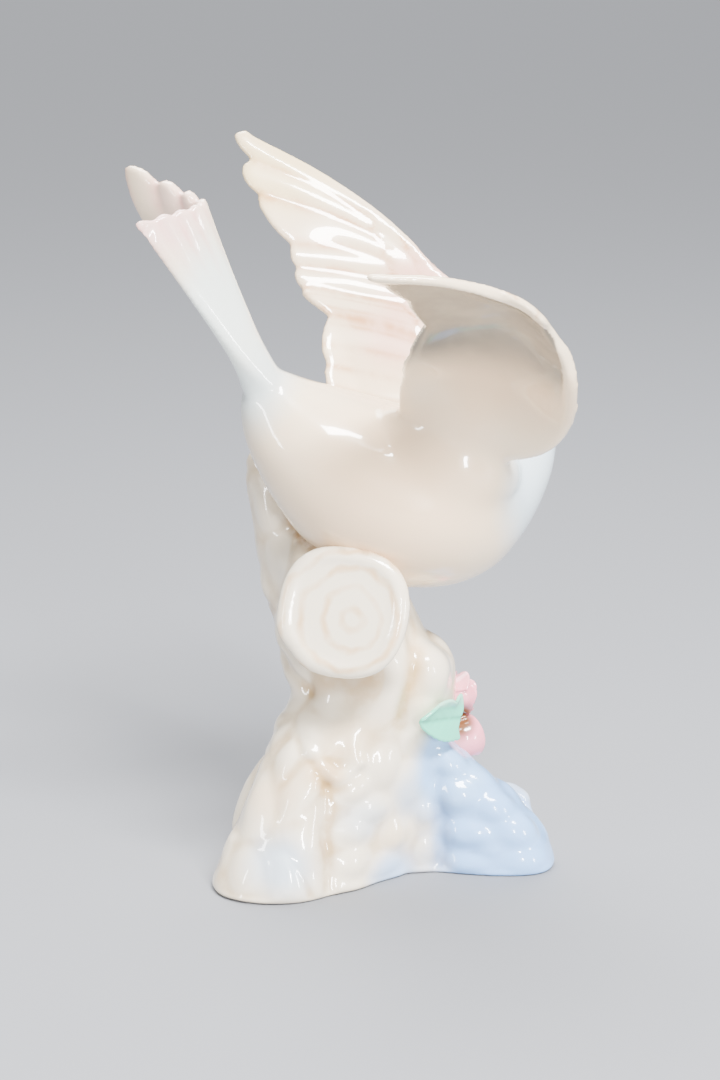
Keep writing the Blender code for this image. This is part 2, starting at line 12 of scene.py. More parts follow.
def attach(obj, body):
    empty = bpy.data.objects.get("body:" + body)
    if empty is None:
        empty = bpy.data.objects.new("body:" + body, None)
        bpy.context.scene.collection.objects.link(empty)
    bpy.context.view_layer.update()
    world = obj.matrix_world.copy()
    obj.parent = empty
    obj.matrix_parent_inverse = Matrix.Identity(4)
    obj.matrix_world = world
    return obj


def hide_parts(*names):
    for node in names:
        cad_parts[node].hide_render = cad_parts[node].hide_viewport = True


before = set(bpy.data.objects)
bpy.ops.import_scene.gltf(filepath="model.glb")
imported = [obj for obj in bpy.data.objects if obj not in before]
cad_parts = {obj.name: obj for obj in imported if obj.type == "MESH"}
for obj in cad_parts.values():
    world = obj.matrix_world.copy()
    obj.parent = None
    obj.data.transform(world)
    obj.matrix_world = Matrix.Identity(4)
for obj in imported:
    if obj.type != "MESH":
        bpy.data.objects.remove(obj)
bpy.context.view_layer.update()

# The dove's body, from the tail's root to the neck. It is slip-cast porcelain under a clear glaze,
# one smooth egg laid over a little to its far side, and all the bird's other parts were luted to it.
MM = 0.001
SPONGE_PULL = 0.6
BODY_SIDES = 96
BODY_STEPS = 100
# Each station: centre, lean of the section back from upright (degrees), half depth, half breadth.
BODY_STATIONS = (
    (-34.5, -6, 140.5, 52, 6.5, 5.5),
    (-29.5, -5, 133.5, 52, 11.5, 11),
    (-23, -4, 127, 49, 16, 16),
    (-16, -2, 120, 41, 20, 20),
    (-8.5, 0, 113.5, 31, 23, 23),
    (2.5, 2, 108, 19, 24.8, 25),
    (15.5, 5, 107, 7, 25.5, 25),
    (25, 7, 108.5, -6, 23, 22),
    (31.5, 9, 114, -20, 19.5, 18),
    (37, 10, 122.5, -40, 14.2, 13.4),
    (40, 11.5, 130, -58, 9.4, 9.4),
)
BODY_YAW = math.radians(13)
BODY_ROLL = math.radians(8)


def spline(values, t):
    """Catmull-Rom through equally spaced rows, for t from 0 at the first to 1 at the last."""
    values = np.asarray(values, float)
    last = len(values) - 1
    place = min(max(t, 0.0), 1.0) * last
    i = min(int(place), last - 1)
    f = place - i
    a, b = values[i], values[i + 1]
    before = values[i - 1] if i > 0 else a * 2 - b
    after = values[i + 2] if i + 2 <= last else b * 2 - a
    return (
        b * f + a * (1 - f)
        + (a * 2 - before - b) * (f * (1 - f) ** 2 / 2)
        + (b * 2 - a - after) * (f * f * (1 - f) / 2)
    )


def unit(vectors):
    vectors = np.asarray(vectors, float)
    return vectors / np.maximum(np.linalg.norm(vectors, axis=-1, keepdims=True), 1e-9)


def loft(clay, rings):
    """Adds to the clay a closed skin over rings of equally many points, with a strip across each end."""
    rings = np.asarray(rings, float)
    rows, count = rings.shape[:2]
    start = sum(len(points) for points, faces in clay)
    faces = []
    for i in range(rows - 1):
        for k in range(count):
            n = (k + 1) % count
            faces.append((i * count + k, i * count + n, (i + 1) * count + n, (i + 1) * count + k))
    for row in (0, (rows - 1) * count):
        for k in range(count // 2):
            faces.append((row + k, row + k + 1, row + (count - k - 1) % count, row + (count - k) % count))
    clay.append((rings.reshape(-1, 3), [tuple(start + c for c in dict.fromkeys(face)) for face in faces]))


def as_it_looks(piece):
    """A new mesh of the piece with its modifiers applied."""
    return bpy.data.meshes.new_from_object(piece.evaluated_get(bpy.context.evaluated_depsgraph_get()))


def cast(name, clay, voxel):
    """Luts the clay's skins together into one closed piece, in metres."""
    rough = bpy.data.meshes.new(name + "_clay")
    points = np.concatenate([skin for skin, faces in clay]) * MM
    rough.from_pydata(points.tolist(), [], [face for skin, faces in clay for face in faces])
    lump = bpy.data.objects.new(name + "_clay", rough)
    bpy.context.scene.collection.objects.link(lump)
    fuse = lump.modifiers.new("fuse", "REMESH")
    fuse.mode = "VOXEL"
    fuse.voxel_size = voxel * MM
    mesh = as_it_looks(lump)
    bpy.data.objects.remove(lump)
    bpy.data.meshes.remove(rough)
    mesh.name = name
    mesh.shade_smooth()
    piece = bpy.data.objects.new(name, mesh)
    bpy.context.scene.collection.objects.link(piece)
    return piece


def points_of(mesh):
    """The mesh's points in millimetres."""
    points = np.empty(len(mesh.vertices) * 3)
    mesh.vertices.foreach_get("co", points)
    return points.reshape(-1, 3) / MM


def normals_of(mesh):
    normals = np.empty(len(mesh.vertices) * 3, np.float32)
    mesh.vertex_normals.foreach_get("vector", normals)
    return normals.reshape(-1, 3).astype(float)


def move_points(mesh, points):
    mesh.vertices.foreach_set("co", (points * MM).ravel())
    mesh.update()


def smooth_step(value):
    value = np.clip(value, 0.0, 1.0)
    return value * value * (3 - 2 * value)


def zone(points, centre, reach):
    """1 at a centre, falling smoothly to 0 at its reach, which may differ along X, Y and Z."""
    away = (points - np.array(centre)) / np.array(reach)
    return smooth_step(1 - np.linalg.norm(away, axis=1))


def furrow(away, width):
    """1 along the middle of a groove or ridge, falling to nothing at about twice its width."""
    return np.exp(-((away / width) ** 2))


def sponge(mesh, points, rounds, weight=1.0):
    """Wipes the clay with a damp sponge, as hard as the weight at each point."""
    edges = np.empty(len(mesh.edges) * 2, np.int32)
    mesh.edges.foreach_get("vertices", edges)
    edges = edges.reshape(-1, 2)
    both = np.concatenate([edges, edges[:, ::-1]])
    both = both[np.argsort(both[:, 0], kind="stable")]
    starts = np.searchsorted(both[:, 0], np.arange(len(points)))
    counts = np.bincount(both[:, 0], minlength=len(points))[:, None]
    pull = (np.full(len(points), SPONGE_PULL) * weight)[:, None]
    for _ in range(rounds):
        mean = np.add.reduceat(points[both[:, 1]], starts, axis=0) / counts
        points = points + (mean - points) * pull
    return points


def mark(mesh, name, values):
    """Keeps a number for each point, which a glaze reads by this name."""
    layer = mesh.attributes.new(name, "FLOAT", "POINT")
    layer.data.foreach_set("value", np.asarray(values, np.float32))


def body_rings():
    side = np.array((
        -math.sin(BODY_YAW) * math.cos(BODY_ROLL),
        math.cos(BODY_YAW) * math.cos(BODY_ROLL),
        math.sin(BODY_ROLL),
    ))
    turns = np.linspace(0, 2 * math.pi, BODY_SIDES, endpoint=False)[:, None]
    rings = []
    for i in range(BODY_STEPS + 1):
        x, y, z, lean, depth, breadth = spline(BODY_STATIONS, i / BODY_STEPS)
        lean = math.radians(lean)
        up = np.array((math.sin(lean), -math.sin(BODY_ROLL), math.cos(lean)))
        up = unit(up - side * up.dot(side))
        rings.append(np.array((x, y, z)) + up * np.sin(turns) * depth + side * np.cos(turns) * breadth)
    return rings


dove_clay = []
loft(dove_clay, body_rings())

# The tail, a tent of feathers pressed from clay and luted to the rump. Its near half is smooth and
# shows the outside, and its far half flares open and shows its inside with round feather tips.
TAIL_ROOT = ((-33.5, -12, 138.5), (-33.5, -6, 141), (-35.5, 0.5, 140.5))
TAIL_TIPS = ((-65.6, -26.3, 186.4), (-48.8, -12, 190.6), (-71.2, 6.4, 199.4))
TAIL_ROOT_DEPTH = 9.5
TAIL_EDGE = 3.0
# Where one feather meets the next, from the near edge (0) to the far one (1).
TAIL_FEATHERS = (0, 0.13, 0.25, 0.36, 0.46, 0.56, 0.66, 0.80, 1)
TAIL_SCALLOP = 1.0
TAIL_FAR_SCALLOP = 2.0
TAIL_FLARE = 3.0
TAIL_ARCH = 0.14
TAIL_FAR_SWING = (-3.4, 0, -1.8)
TAIL_ROWS = 72
TAIL_COLUMNS = 96


def tail_middle(u, across):
    """A point of the tail's mid-surface, from its root (0) to its tips (1) and from edge to edge."""
    crest = math.hypot(1, TAIL_ARCH) - TAIL_ARCH
    bend = (math.hypot(across, TAIL_ARCH) - TAIL_ARCH) / crest
    near, ridge, far = (
        np.array(a) * (1 - u) + np.array(b) * u for a, b in zip(TAIL_ROOT, TAIL_TIPS)
    )
    far = far + np.array(TAIL_FAR_SWING) * (u ** 3 * (1 - u) / (0.75 ** 3 * 0.25))
    return ridge + (near - ridge) * (bend - across) / 2 + (far - ridge) * (bend + across) / 2


def feather_share(place, feathers):
    """0 in the groove beside a feather and 1 along its middle."""
    return 1 - abs(2 * (place * feathers % 1.0) - 1)


def tail_share(place):
    """0 where two of the tail's feathers meet and 1 along the middle of one."""
    middles = [(a + b) / 2 for a, b in zip(TAIL_FEATHERS, TAIL_FEATHERS[1:])]
    stops = sorted([(edge, 0.0) for edge in TAIL_FEATHERS] + [(middle, 1.0) for middle in middles])
    return np.interp(place, [stop for stop, share in stops], [share for stop, share in stops])


def tail_rings():
    lie = unit(np.array(TAIL_TIPS[1]) - np.array(TAIL_ROOT[1]))
    rings = []
    for j in range(TAIL_ROWS + 1):
        u = j / TAIL_ROWS
        depth = TAIL_EDGE + (TAIL_ROOT_DEPTH - TAIL_EDGE) * (1 - u) ** 1.6
        depth += TAIL_FLARE * max(0.0, 1 - u / 0.3) ** 2
        outer, inner = [], []
        for i in range(TAIL_COLUMNS + 1):
            across = 2 * i / TAIL_COLUMNS - 1
            run = tail_middle(u, across + 0.05) - tail_middle(u, across - 0.05)
            out = unit(np.cross(lie, run))
            tip = 1 - tail_share(i / TAIL_COLUMNS)
            scallop = (TAIL_FAR_SCALLOP if across > 0 else TAIL_SCALLOP) * tip ** 2.2 * u ** 6
            middle = tail_middle(u, across) - lie * scallop
            half = depth / 2 * max(0.0, 1 - across * across) ** 0.3
            outer.append(middle + out * half)
            inner.append(middle - out * half)
        rings.append(outer + inner[-2:0:-1])
    return rings


loft(dove_clay, tail_rings())

# The wings, two thin curved sheets of feathers. The far one shows its back, with a groove beside
# each feather and a layer of coverts, and the near one cups forward and shows its plain underside.
FAR_RIM = 3.8
NEAR_RIM = 3.6
WING_EDGE = 2.5
WING_ROWS = 10
WING_COLUMNS = 60
EDGE_STEPS = 6
# Each line runs from the arm to the trailing edge, root first. Between two lines lies one feather,
# whose tip stands out this far.
FAR_WING = (
    (((26, 16, 120), (12.5, 15, 122), (-1, 13, 125), (-12, 9, 130)), 1.5),
    (((27.5, 23, 132), (13, 22, 135.5), (-2.5, 19, 139.5), (-15, 15, 142.5)), 2),
    (((27, 28, 142.5), (13, 28, 146.5), (-1, 26, 151), (-14.5, 23, 154)), 2.6),
    (((25, 32, 151), (9, 33, 155), (-7, 31, 158), (-21.5, 28, 161)), 1.4),
    (((22.5, 34, 156.5), (6, 36, 161), (-9.5, 34, 164.5), (-23.5, 31, 166.5)), 1.4),
    (((20.5, 36, 159.5), (4.5, 37.5, 166.5), (-11, 37, 171), (-25.5, 34, 173)), 2.4),
    (((17.5, 37, 163), (1, 40, 172.5), (-16.5, 41, 180.5), (-34.5, 42, 185.5)), 3.8),
    (((16, 37.5, 164.5), (0, 41.5, 176), (-18.5, 44, 187), (-36.3, 46.6, 194.6)), 3.8),
    (((15, 38, 166), (-1, 43, 179.5), (-19.5, 47, 191), (-39.5, 50, 202)), 0),
)
NEAR_WING = (
    (((27.5, -9, 121), (20, -13, 114), (12, -14, 115.5), (5, -9, 126)), 0),
    (((41, -22, 125.5), (29, -19, 128.5), (16.5, -19, 131), (4.5, -14.5, 138.5)), 0),
    (((47, -31, 135), (34, -25.5, 139.5), (20, -23.5, 142.5), (5.5, -20.5, 145.5)), 0.6),
    (((47, -41, 146), (35, -35, 152.5), (20.5, -31.5, 154), (7, -28.5, 152.5)), 0.8),
    (((46, -45, 153), (34.5, -42.5, 162), (21.5, -40, 163), (10.5, -39, 162)), 1.5),
    (((44.5, -48, 157), (33.5, -51, 168), (20, -51, 169.5), (6, -51, 170)), 1.5),
    (((43.5, -49.5, 159), (33, -56, 169.5), (17.5, -60, 174.5), (0, -62, 175.5)), 1),
    (((43, -50, 159.5), (32, -57, 170), (15, -62.5, 176), (-4.5, -67, 178)), 0),
)
# The muscle that fills the near wing's root: centre and radius along it.
SHOULDER_STATIONS = (
    (3, -8.5, 130, 5),
    (10, -10.5, 124.5, 9),
    (17, -10.5, 119.5, 10.8),
    (23, -9.5, 116.5, 10.8),
    (28, -7, 115.5, 9),
)


def wing_middle(lines, corner):
    """The wing's mid-surface: rows across the feathers from the arm's root, columns along them.
    The corner between the arm and the leading edge is rounded over these two shares."""
    curves = np.array([line for line, tip in lines])
    feathers = len(lines) - 1
    rows = feathers * WING_ROWS
    grid = []
    for row in range(rows + 1):
        f = (row % WING_ROWS) / WING_ROWS
        bulge = lines[row // WING_ROWS][1] * (1 - abs(2 * f - 1) ** 2.5)
        plain = spline(curves, row / rows)
        reach = unit(spline(plain, 1.0) - spline(plain, 0.98))
        points = []
        for j in range(WING_COLUMNS + 1):
            share = j / WING_COLUMNS
            down = max(0.0, 1 - (1 - row / rows) / corner[0])
            in_along = max(0.0, 1 - share / corner[1])
            across, along, line = row / rows, share, plain
            if down > 0:
                across = 1 - corner[0] * (1 - down * math.sqrt(1 - in_along ** 2 / 2))
                line = spline(curves, across)
            if in_along > 0:
                along = corner[1] * (1 - in_along * math.sqrt(1 - down ** 2 / 2))
            points.append(spline(line, along) + reach * bulge * share ** 4)
        grid.append(points)
    return np.array(grid)


def sheet(clay, middle, half):
    """Adds to the clay a closed sheet with round edges about its mid-surface."""
    rows, columns = middle.shape[:2]
    normal = unit(np.cross(np.gradient(middle, axis=0), np.gradient(middle, axis=1)))
    border = [(i, 0) for i in range(rows - 1)]
    border += [(rows - 1, j) for j in range(columns - 1)]
    border += [(i, columns - 1) for i in range(rows - 1, 0, -1)]
    border += [(0, j) for j in range(columns - 1, 0, -1)]
    index = np.arange(rows * columns).reshape(rows, columns)
    faces = []
    for skin in (0, rows * columns):
        for i in range(rows - 1):
            for j in range(columns - 1):
                square = (index[i, j], index[i + 1, j], index[i + 1, j + 1], index[i, j + 1])
                faces.append(tuple(int(corner) + skin for corner in square))
    points = [middle + normal * half[..., None], middle - normal * half[..., None]]
    points = [layer.reshape(-1, 3) for layer in points]
    count = 2 * rows * columns
    bands = [[int(index[i, j]) for i, j in border]]
    for step in range(1, EDGE_STEPS):
        angle = math.pi * step / EDGE_STEPS
        ring = []
        for i, j in border:
            inner = middle[min(max(i, 1), rows - 2), min(max(j, 1), columns - 2)]
            away = middle[i, j] - inner
            away = unit(away - normal[i, j] * away.dot(normal[i, j]))
            turned = normal[i, j] * math.cos(angle) + away * math.sin(angle)
            ring.append(middle[i, j] + turned * half[i, j])
        points.append(np.array(ring))
        bands.append(list(range(count, count + len(border))))
        count += len(border)
    bands.append([corner + rows * columns for corner in bands[0]])
    for band, following in zip(bands, bands[1:]):
        for a in range(len(border)):
            b = (a + 1) % len(border)
            faces.append((band[a], band[b], following[b], following[a]))
    start = sum(len(skin) for skin, made in clay)
    clay.append((np.concatenate(points), [tuple(start + corner for corner in face) for face in faces]))


def wing_half(middle, rim, taper):
    """Half the wing's thickness, which is greatest along its arm and its leading edge, and which
    thins by a share towards the arm's tip."""
    rows, columns = middle.shape[:2]
    down = 1 - np.arange(rows)[:, None] / (rows - 1)
    along = np.arange(columns)[None, :] / (columns - 1)
    to_rim = np.minimum(along, down)
    half = (WING_EDGE + (rim - WING_EDGE) * np.maximum(0.0, 1 - to_rim / 0.3) ** 2) / 2
    return half * (1 - taper * smooth_step((along - 0.45) / 0.55) * smooth_step(1 - down / 0.3))


def rod(clay, stations, sides=32, steps=6):
    """Adds to the clay a round rod with round ends along a path of centres and radii."""
    rows = len(stations) - 1
    path = np.array([spline(stations, i / (rows * steps)) for i in range(rows * steps + 1)])
    lie = unit(np.gradient(path[:, :3], axis=0))
    across = unit(np.cross(lie, (0.31, 0.22, 0.93)))
    turns = np.linspace(0, 2 * math.pi, sides, endpoint=False)[:, None]
    ends = [(0, -math.sin(a), math.cos(a)) for a in (1.5, 1.2, 0.9, 0.6, 0.3)]
    ends_far = [(-1, math.sin(a), math.cos(a)) for a in (0.3, 0.6, 0.9, 1.2, 1.5)]
    stops = ends + [(i, 0.0, 1.0) for i in range(len(path))] + ends_far
    rings = []
    for i, out, share in stops:
        centre = path[i, :3] + lie[i] * path[i, 3] * out
        wide = across[i] * np.cos(turns) + np.cross(lie[i], across[i]) * np.sin(turns)
        rings.append(centre + wide * path[i, 3] * share)
    loft(clay, rings)


far_middle = wing_middle(FAR_WING, (0.2, 0.12))
near_middle = wing_middle(NEAR_WING, (0.5, 0.24))
sheet(dove_clay, far_middle, wing_half(far_middle, FAR_RIM, 0.1))
sheet(dove_clay, near_middle, wing_half(near_middle, NEAR_RIM, 0.35))
rod(dove_clay, SHOULDER_STATIONS)

# The head, a round ball turned to the far side, with a short hooked bill and a bead for each eye.
# It was cast with the body, and the eyes were painted over the glaze.
HEAD_CENTRE = np.array((40.0, 12.5, 132.5))
HEAD_RADII = np.array((11.2, 12.0, 11.0))
BEAK_AIM = unit((0.28, 0.92, -0.26))
BEAK_START = 9.0
# Along the bill: distance from its root inside the head, drop of the hook and radius.
BEAK_STATIONS = ((0, 0, 4), (2.8, 0, 3.1), (5.6, 0.2, 2.3), (8.2, 0.8, 1.7), (10.4, 1.9, 0.8))
EYE_RADIUS = 1.7
# From the head's middle: forward along the bill, out to the side and up.
EYE_PLACE = (5.4, 8.9, 2.6)


def ball(clay, centre, radii, sides=48):
    turns = np.linspace(0, 2 * math.pi, sides, endpoint=False)
    rings = []
    for rise in np.linspace(-math.pi / 2 + 0.06, math.pi / 2 - 0.06, sides // 2):
        ring = np.stack([
            np.cos(turns) * math.cos(rise), np.sin(turns) * math.cos(rise), np.full(sides, math.sin(rise)),
        ], axis=1)
        rings.append(np.array(centre) + ring * np.array(radii))
    loft(clay, rings)


ball(dove_clay, HEAD_CENTRE, HEAD_RADII)
beak_root = HEAD_CENTRE + BEAK_AIM * BEAK_START
beak = [(*(beak_root + BEAK_AIM * along - (0, 0, drop)), radius) for along, drop, radius in BEAK_STATIONS]
rod(dove_clay, beak, sides=20)
head_level = unit(np.cross(BEAK_AIM, (0, 0, 1)))
eyes = []
for side in (1, -1):
    beside = HEAD_CENTRE + BEAK_AIM * EYE_PLACE[0] + head_level * (side * EYE_PLACE[1])
    eyes.append(beside + (0, 0, EYE_PLACE[2]))
    ball(dove_clay, eyes[-1], (EYE_RADIUS,) * 3, 24)

# The joined bird, sponged smooth where its parts meet. The feather grooves were drawn into the clay
# after that, and glaze and a thin brown wash have settled in them.
DOVE_VOXEL = 0.6
FEATHER_RISE = 0.26
FEATHER_GROOVE = 0.07
# Each layer of coverts: how far it reaches along the wing, how deep its scallops are, how far it is
# raised and how its feathers are shifted, as a share of one.
COVERTS = ((0.36, 0.07, 0.28, 0.5), (0.17, 0.05, 0.16, 0.25))
FOLD_RISE = 0.4
BOWL_DEPTH = 0.2
# How much painted shade darkens each wing's bowl: the far wing's underside gets little of it.
BOWL_PAINTED_SHADE = {"far": 0.25, "near": 1.0}
TAIL_RIDGE = 0.42
CURL_RISE = 0.5
CURL_DEPTH = 0.8
# Each place that was sponged hard: centre, reach and rounds.
SPONGED = (
    ((14, -16, 117), (25, 18, 19), 280),
    ((3, -10, 129), (9, 10, 9), 60),
    (tuple(near_middle[-1, 0]), (9, 9, 9), 40),
    ((4, 14, 126), (18, 12, 14), 120),
    ((-34, -5, 139), (11, 12, 11), 60),
    ((38, 12, 125), (14, 15, 8), 80),
    ((37.5, 21, 131), (5, 5, 5), 14),
)
# How far from a sheet's middle its own skin can lie.
WING_SKIN = 4.0
TAIL_SKIN = 4.5

dove = cast("porcelain_dove", dove_clay, DOVE_VOXEL)
dove_points = sponge(dove.data, points_of(dove.data), 5)
for centre, reach, rounds in SPONGED:
    dove_points = sponge(dove.data, dove_points, rounds, zone(dove_points, centre, reach))
move_points(dove.data, dove_points)


def on_sheet(middle, points, farthest):
    """For each point near a sheet: its row share, column share and signed height above the sheet."""
    rows, columns = middle.shape[:2]
    corners = [Vector(point) for point in middle.reshape(-1, 3)]
    squares = [
        (i * columns + j, (i + 1) * columns + j, (i + 1) * columns + j + 1, i * columns + j + 1)
        for i in range(rows - 1) for j in range(columns - 1)
    ]
    tree = BVHTree.FromPolygons(corners, squares)
    found = np.full((len(points), 3), np.nan)
    for n, point in enumerate(points):
        hit, normal, face, distance = tree.find_nearest(Vector(point), farthest)
        if hit is None:
            continue
        i, j = divmod(face, columns - 1)
        corner = corners[squares[face][0]]
        down = corners[squares[face][1]] - corner
        along = corners[squares[face][3]] - corner
        i += min(max((hit - corner).dot(down) / max(down.length_squared, 1e-9), 0.0), 1.0)
        j += min(max((hit - corner).dot(along) / max(along.length_squared, 1e-9), 0.0), 1.0)
        found[n] = i / (rows - 1), j / (columns - 1), normal.dot(Vector(point) - hit)
    return found


dove_points = points_of(dove.data)
dove_normals = normals_of(dove.data)
relief = np.zeros(len(dove_points))
groove = np.zeros(len(dove_points))
bowl_painted_shade = np.zeros(len(dove_points))

for wing, middle, feathers, back in (
    ("far", far_middle, len(FAR_WING) - 1, 1), ("near", near_middle, len(NEAR_WING) - 1, -1),
):
    place = on_sheet(middle, dove_points, WING_SKIN)
    here = ~np.isnan(place[:, 0])
    across, along, height = np.nan_to_num(place).T
    share = feather_share(across, feathers)
    clear = smooth_step((across - 0.1) / 0.12) * smooth_step((1 - across) / 0.04)
    on_back = here * (height * back > 0.3)
    # The long feathers, with rounded backs that meet in grooves.
    long_ones = smooth_step((along - 0.34) / 0.1) * clear * on_back
    relief += long_ones * (FEATHER_RISE * smooth_step(share) - FEATHER_GROOVE * furrow(share, 0.45))
    groove = np.maximum(groove, long_ones * furrow(share, 0.35))
    # The coverts, raised layers whose edges are scalloped by a short feather over each long one.
    for reach, scallop, rise, shift in COVERTS:
        edge = reach + scallop * np.sqrt(feather_share(across + shift / feathers, feathers))
        relief += rise * smooth_step((edge - along) / 0.05) * clear * on_back
        groove = np.maximum(groove, 0.9 * clear * on_back * furrow(along - edge - 0.015, 0.018))
    # Finer barbs, only painted, on the short feathers by the body.
    barb = furrow(feather_share(across, 2 * feathers + 2), 0.3) * smooth_step((along - 0.12) / 0.1)
    barb = barb * smooth_step((0.42 - across) / 0.12) * smooth_step((across - 0.02) / 0.04)
    groove = np.maximum(groove, 0.7 * barb * on_back)
    # The plain underside, with a deep bowl behind the arm and a soft fold along the bowl's edge.
    # The bowl is marked for painted shade.
    below = here * (height * back < -0.3)
    to_rim = np.minimum(1 - across, along * 1.6)
    bowl = smooth_step((across - 0.33) / 0.16) * smooth_step((to_rim - 0.03) / 0.03) * below
    fold = furrow(across - 0.38, 0.06) * smooth_step((to_rim - 0.05) / 0.1) * below
    relief += FOLD_RISE * fold - BOWL_DEPTH * bowl
    bowl_painted_shade = np.maximum(bowl_painted_shade, bowl * BOWL_PAINTED_SHADE[wing])

# The tail's feathers, ridged towards their tips, and the curl at the corner of its near half.
tail_grid = np.array([
    [tail_middle(u, across) for across in np.linspace(-1, 1, 49)] for u in np.linspace(0, 1, 37)
])
tail_place = on_sheet(tail_grid, dove_points, TAIL_SKIN)
along, across, height = np.nan_to_num(tail_place).T
ridged = smooth_step((along - 0.5) / 0.5) * ~np.isnan(tail_place[:, 0])
relief += TAIL_RIDGE * ridged * (np.sin(tail_share(across) * math.pi / 2) - 0.7)
crease = ridged * furrow(tail_share(across), 0.4)
relief += CURL_RISE * zone(dove_points, (-64.5, -26.5, 182.5), (4.5, 4.5, 7.0))
relief -= CURL_DEPTH * zone(dove_points, (-61.5, -24.8, 184.0), (3.2, 4.0, 5.0))

dove_points += dove_normals * relief[:, None]
move_points(dove.data, sponge(dove.data, dove_points, 4))
for name, values in (("groove", groove), ("bowl_painted_shade", bowl_painted_shade), ("crease", crease)):
    mark(dove.data, name, values)

# The bird's mesh is kept under the library's 200,000 triangles by merging its flattest faces.
DOVE_TRIANGLES = 196000
thin = dove.modifiers.new("thin", "DECIMATE")
thin.ratio = DOVE_TRIANGLES / sum(len(face.vertices) - 2 for face in dove.data.polygons)
thinned = as_it_looks(dove)
dove.modifiers.clear()
dove.data = thinned
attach(dove, "root")
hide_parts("dove")

# The dove's finish: pastel colours airbrushed over white clay under a thick clear glaze. The back
# and flanks are ivory, the breast and tail cool white, and the tail's end and the coverts are pink.
GREY = (0.8, 0.8, 0.8, 1.0)


def linear(mix):
    """A mix written as six hex digits, as a shader colour."""
    shares = [int(mix[i:i + 2], 16) / 255 for i in (0, 2, 4)]
    return (*[c / 12.92 if c <= 0.04045 else ((c + 0.055) / 1.055) ** 2.4 for c in shares], 1.0)


def new_effect(name, inputs, outputs):
    """An empty shader node group, the sockets that it is given and the sockets of its result."""
    effect = bpy.data.node_groups.new(name, "ShaderNodeTree")
    kinds = {float: "NodeSocketFloat", Vector: "NodeSocketVector", tuple: "NodeSocketColor"}
    for direction, sockets in (("INPUT", inputs), ("OUTPUT", outputs)):
        for socket, value in sockets.items():
            made = effect.interface.new_socket(socket, in_out=direction, socket_type=kinds[type(value)])
            made.default_value = value
    given = effect.nodes.new("NodeGroupInput").outputs
    return effect, given, effect.nodes.new("NodeGroupOutput").inputs


def plug(tree, socket, value):
    """Links a socket from another one, or sets it to a value."""
    if isinstance(value, bpy.types.NodeSocket):
        tree.links.new(value, socket)
    else:
        socket.default_value = value


def add_node(tree, kind, settings=(), **sockets):
    """A node with its settings, whose sockets are named, or numbered as _0, _1 and so on."""
    node = tree.nodes.new("ShaderNode" + kind)
    for name, value in dict(settings).items():
        setattr(node, name, value)
    for name, value in sockets.items():
        plug(tree, node.inputs[int(name[1:]) if name[1:].isdigit() else name.replace("_", " ")], value)
    return node


def maths(tree, operation, *values, clamp=False):
    sockets = {f"_{i}": value for i, value in enumerate(values)}
    return add_node(tree, "Math", {"operation": operation, "use_clamp": clamp}, **sockets).outputs[0]


def vectors(tree, operation, output=0, **sockets):
    return add_node(tree, "VectorMath", {"operation": operation}, **sockets).outputs[output]


def clouds(tree, place, scale, detail):
    return add_node(tree, "TexNoise", Vector=place, Scale=scale, Detail=detail).outputs["Fac"]


def ramp(tree, value, low, high, least=0.0, most=1.0, kind="SMOOTHSTEP"):
    return add_node(
        tree, "MapRange", {"interpolation_type": kind},
        Value=value, From_Min=low, From_Max=high, To_Min=least, To_Max=most,
    ).outputs[0]


def lay_over(effect, result, below, above, amount):
    """Ends an effect that lays one colour over another by an amount."""
    mixed = add_node(effect, "Mix", {"data_type": "RGBA"}, _0=amount, _6=below, _7=above)
    effect.links.new(mixed.outputs[2], result["Colour"])
    effect.links.new(amount, result["Mask"])


def make_tint_and_painted_shade_zone():
    """A tint sprayed over an oval place, with a soft edge that wanders a little; it also lays painted
    shade.
    """
    effect, given, result = new_effect(
        "tint_and_painted_shade_zone",
        {
            "Colour": GREY, "Tint": GREY, "Place": Vector((0, 0, 0)), "Centre": Vector((0, 0, 0)),
            "Reach": Vector((10, 10, 10)), "Wander": 0.25, "Edge": 0.75, "Strength": 1.0,
        },
        {"Colour": GREY, "Mask": 0.0},
    )
    away = vectors(effect, "SUBTRACT", _0=given["Place"], _1=given["Centre"])
    share = vectors(effect, "DIVIDE", _0=away, _1=given["Reach"])
    length = vectors(effect, "LENGTH", "Value", _0=share)
    cloud = clouds(effect, given["Place"], 0.07, 3.0)
    drift = maths(effect, "MULTIPLY", maths(effect, "SUBTRACT", cloud, 0.5), given["Wander"])
    full = maths(effect, "SUBTRACT", 1.0, given["Edge"])
    mask = ramp(effect, maths(effect, "ADD", length, drift), 1.0, full)
    amount = maths(effect, "MULTIPLY", mask, given["Strength"])
    lay_over(effect, result, given["Colour"], given["Tint"], amount)
    return effect


def make_wash_and_painted_shade():
    """A thin wash of stain that has run into the hollows and dried unevenly; it also lays painted shade."""
    effect, given, result = new_effect(
        "wash_and_painted_shade",
        {
            "Colour": GREY, "Wash": GREY, "Place": Vector((0, 0, 0)), "Hollow": 0.0, "Grain": 0.25,
            "Thinnest": 0.25, "Strength": 0.5,
        },
        {"Colour": GREY, "Mask": 0.0},
    )
    cloud = clouds(effect, given["Place"], given["Grain"], 4.0)
    deep = maths(effect, "MULTIPLY", given["Hollow"], ramp(effect, cloud, 0.32, 0.68, given["Thinnest"]))
    amount = maths(effect, "MULTIPLY", deep, given["Strength"], clamp=True)
    lay_over(effect, result, given["Colour"], given["Wash"], amount)
    return effect


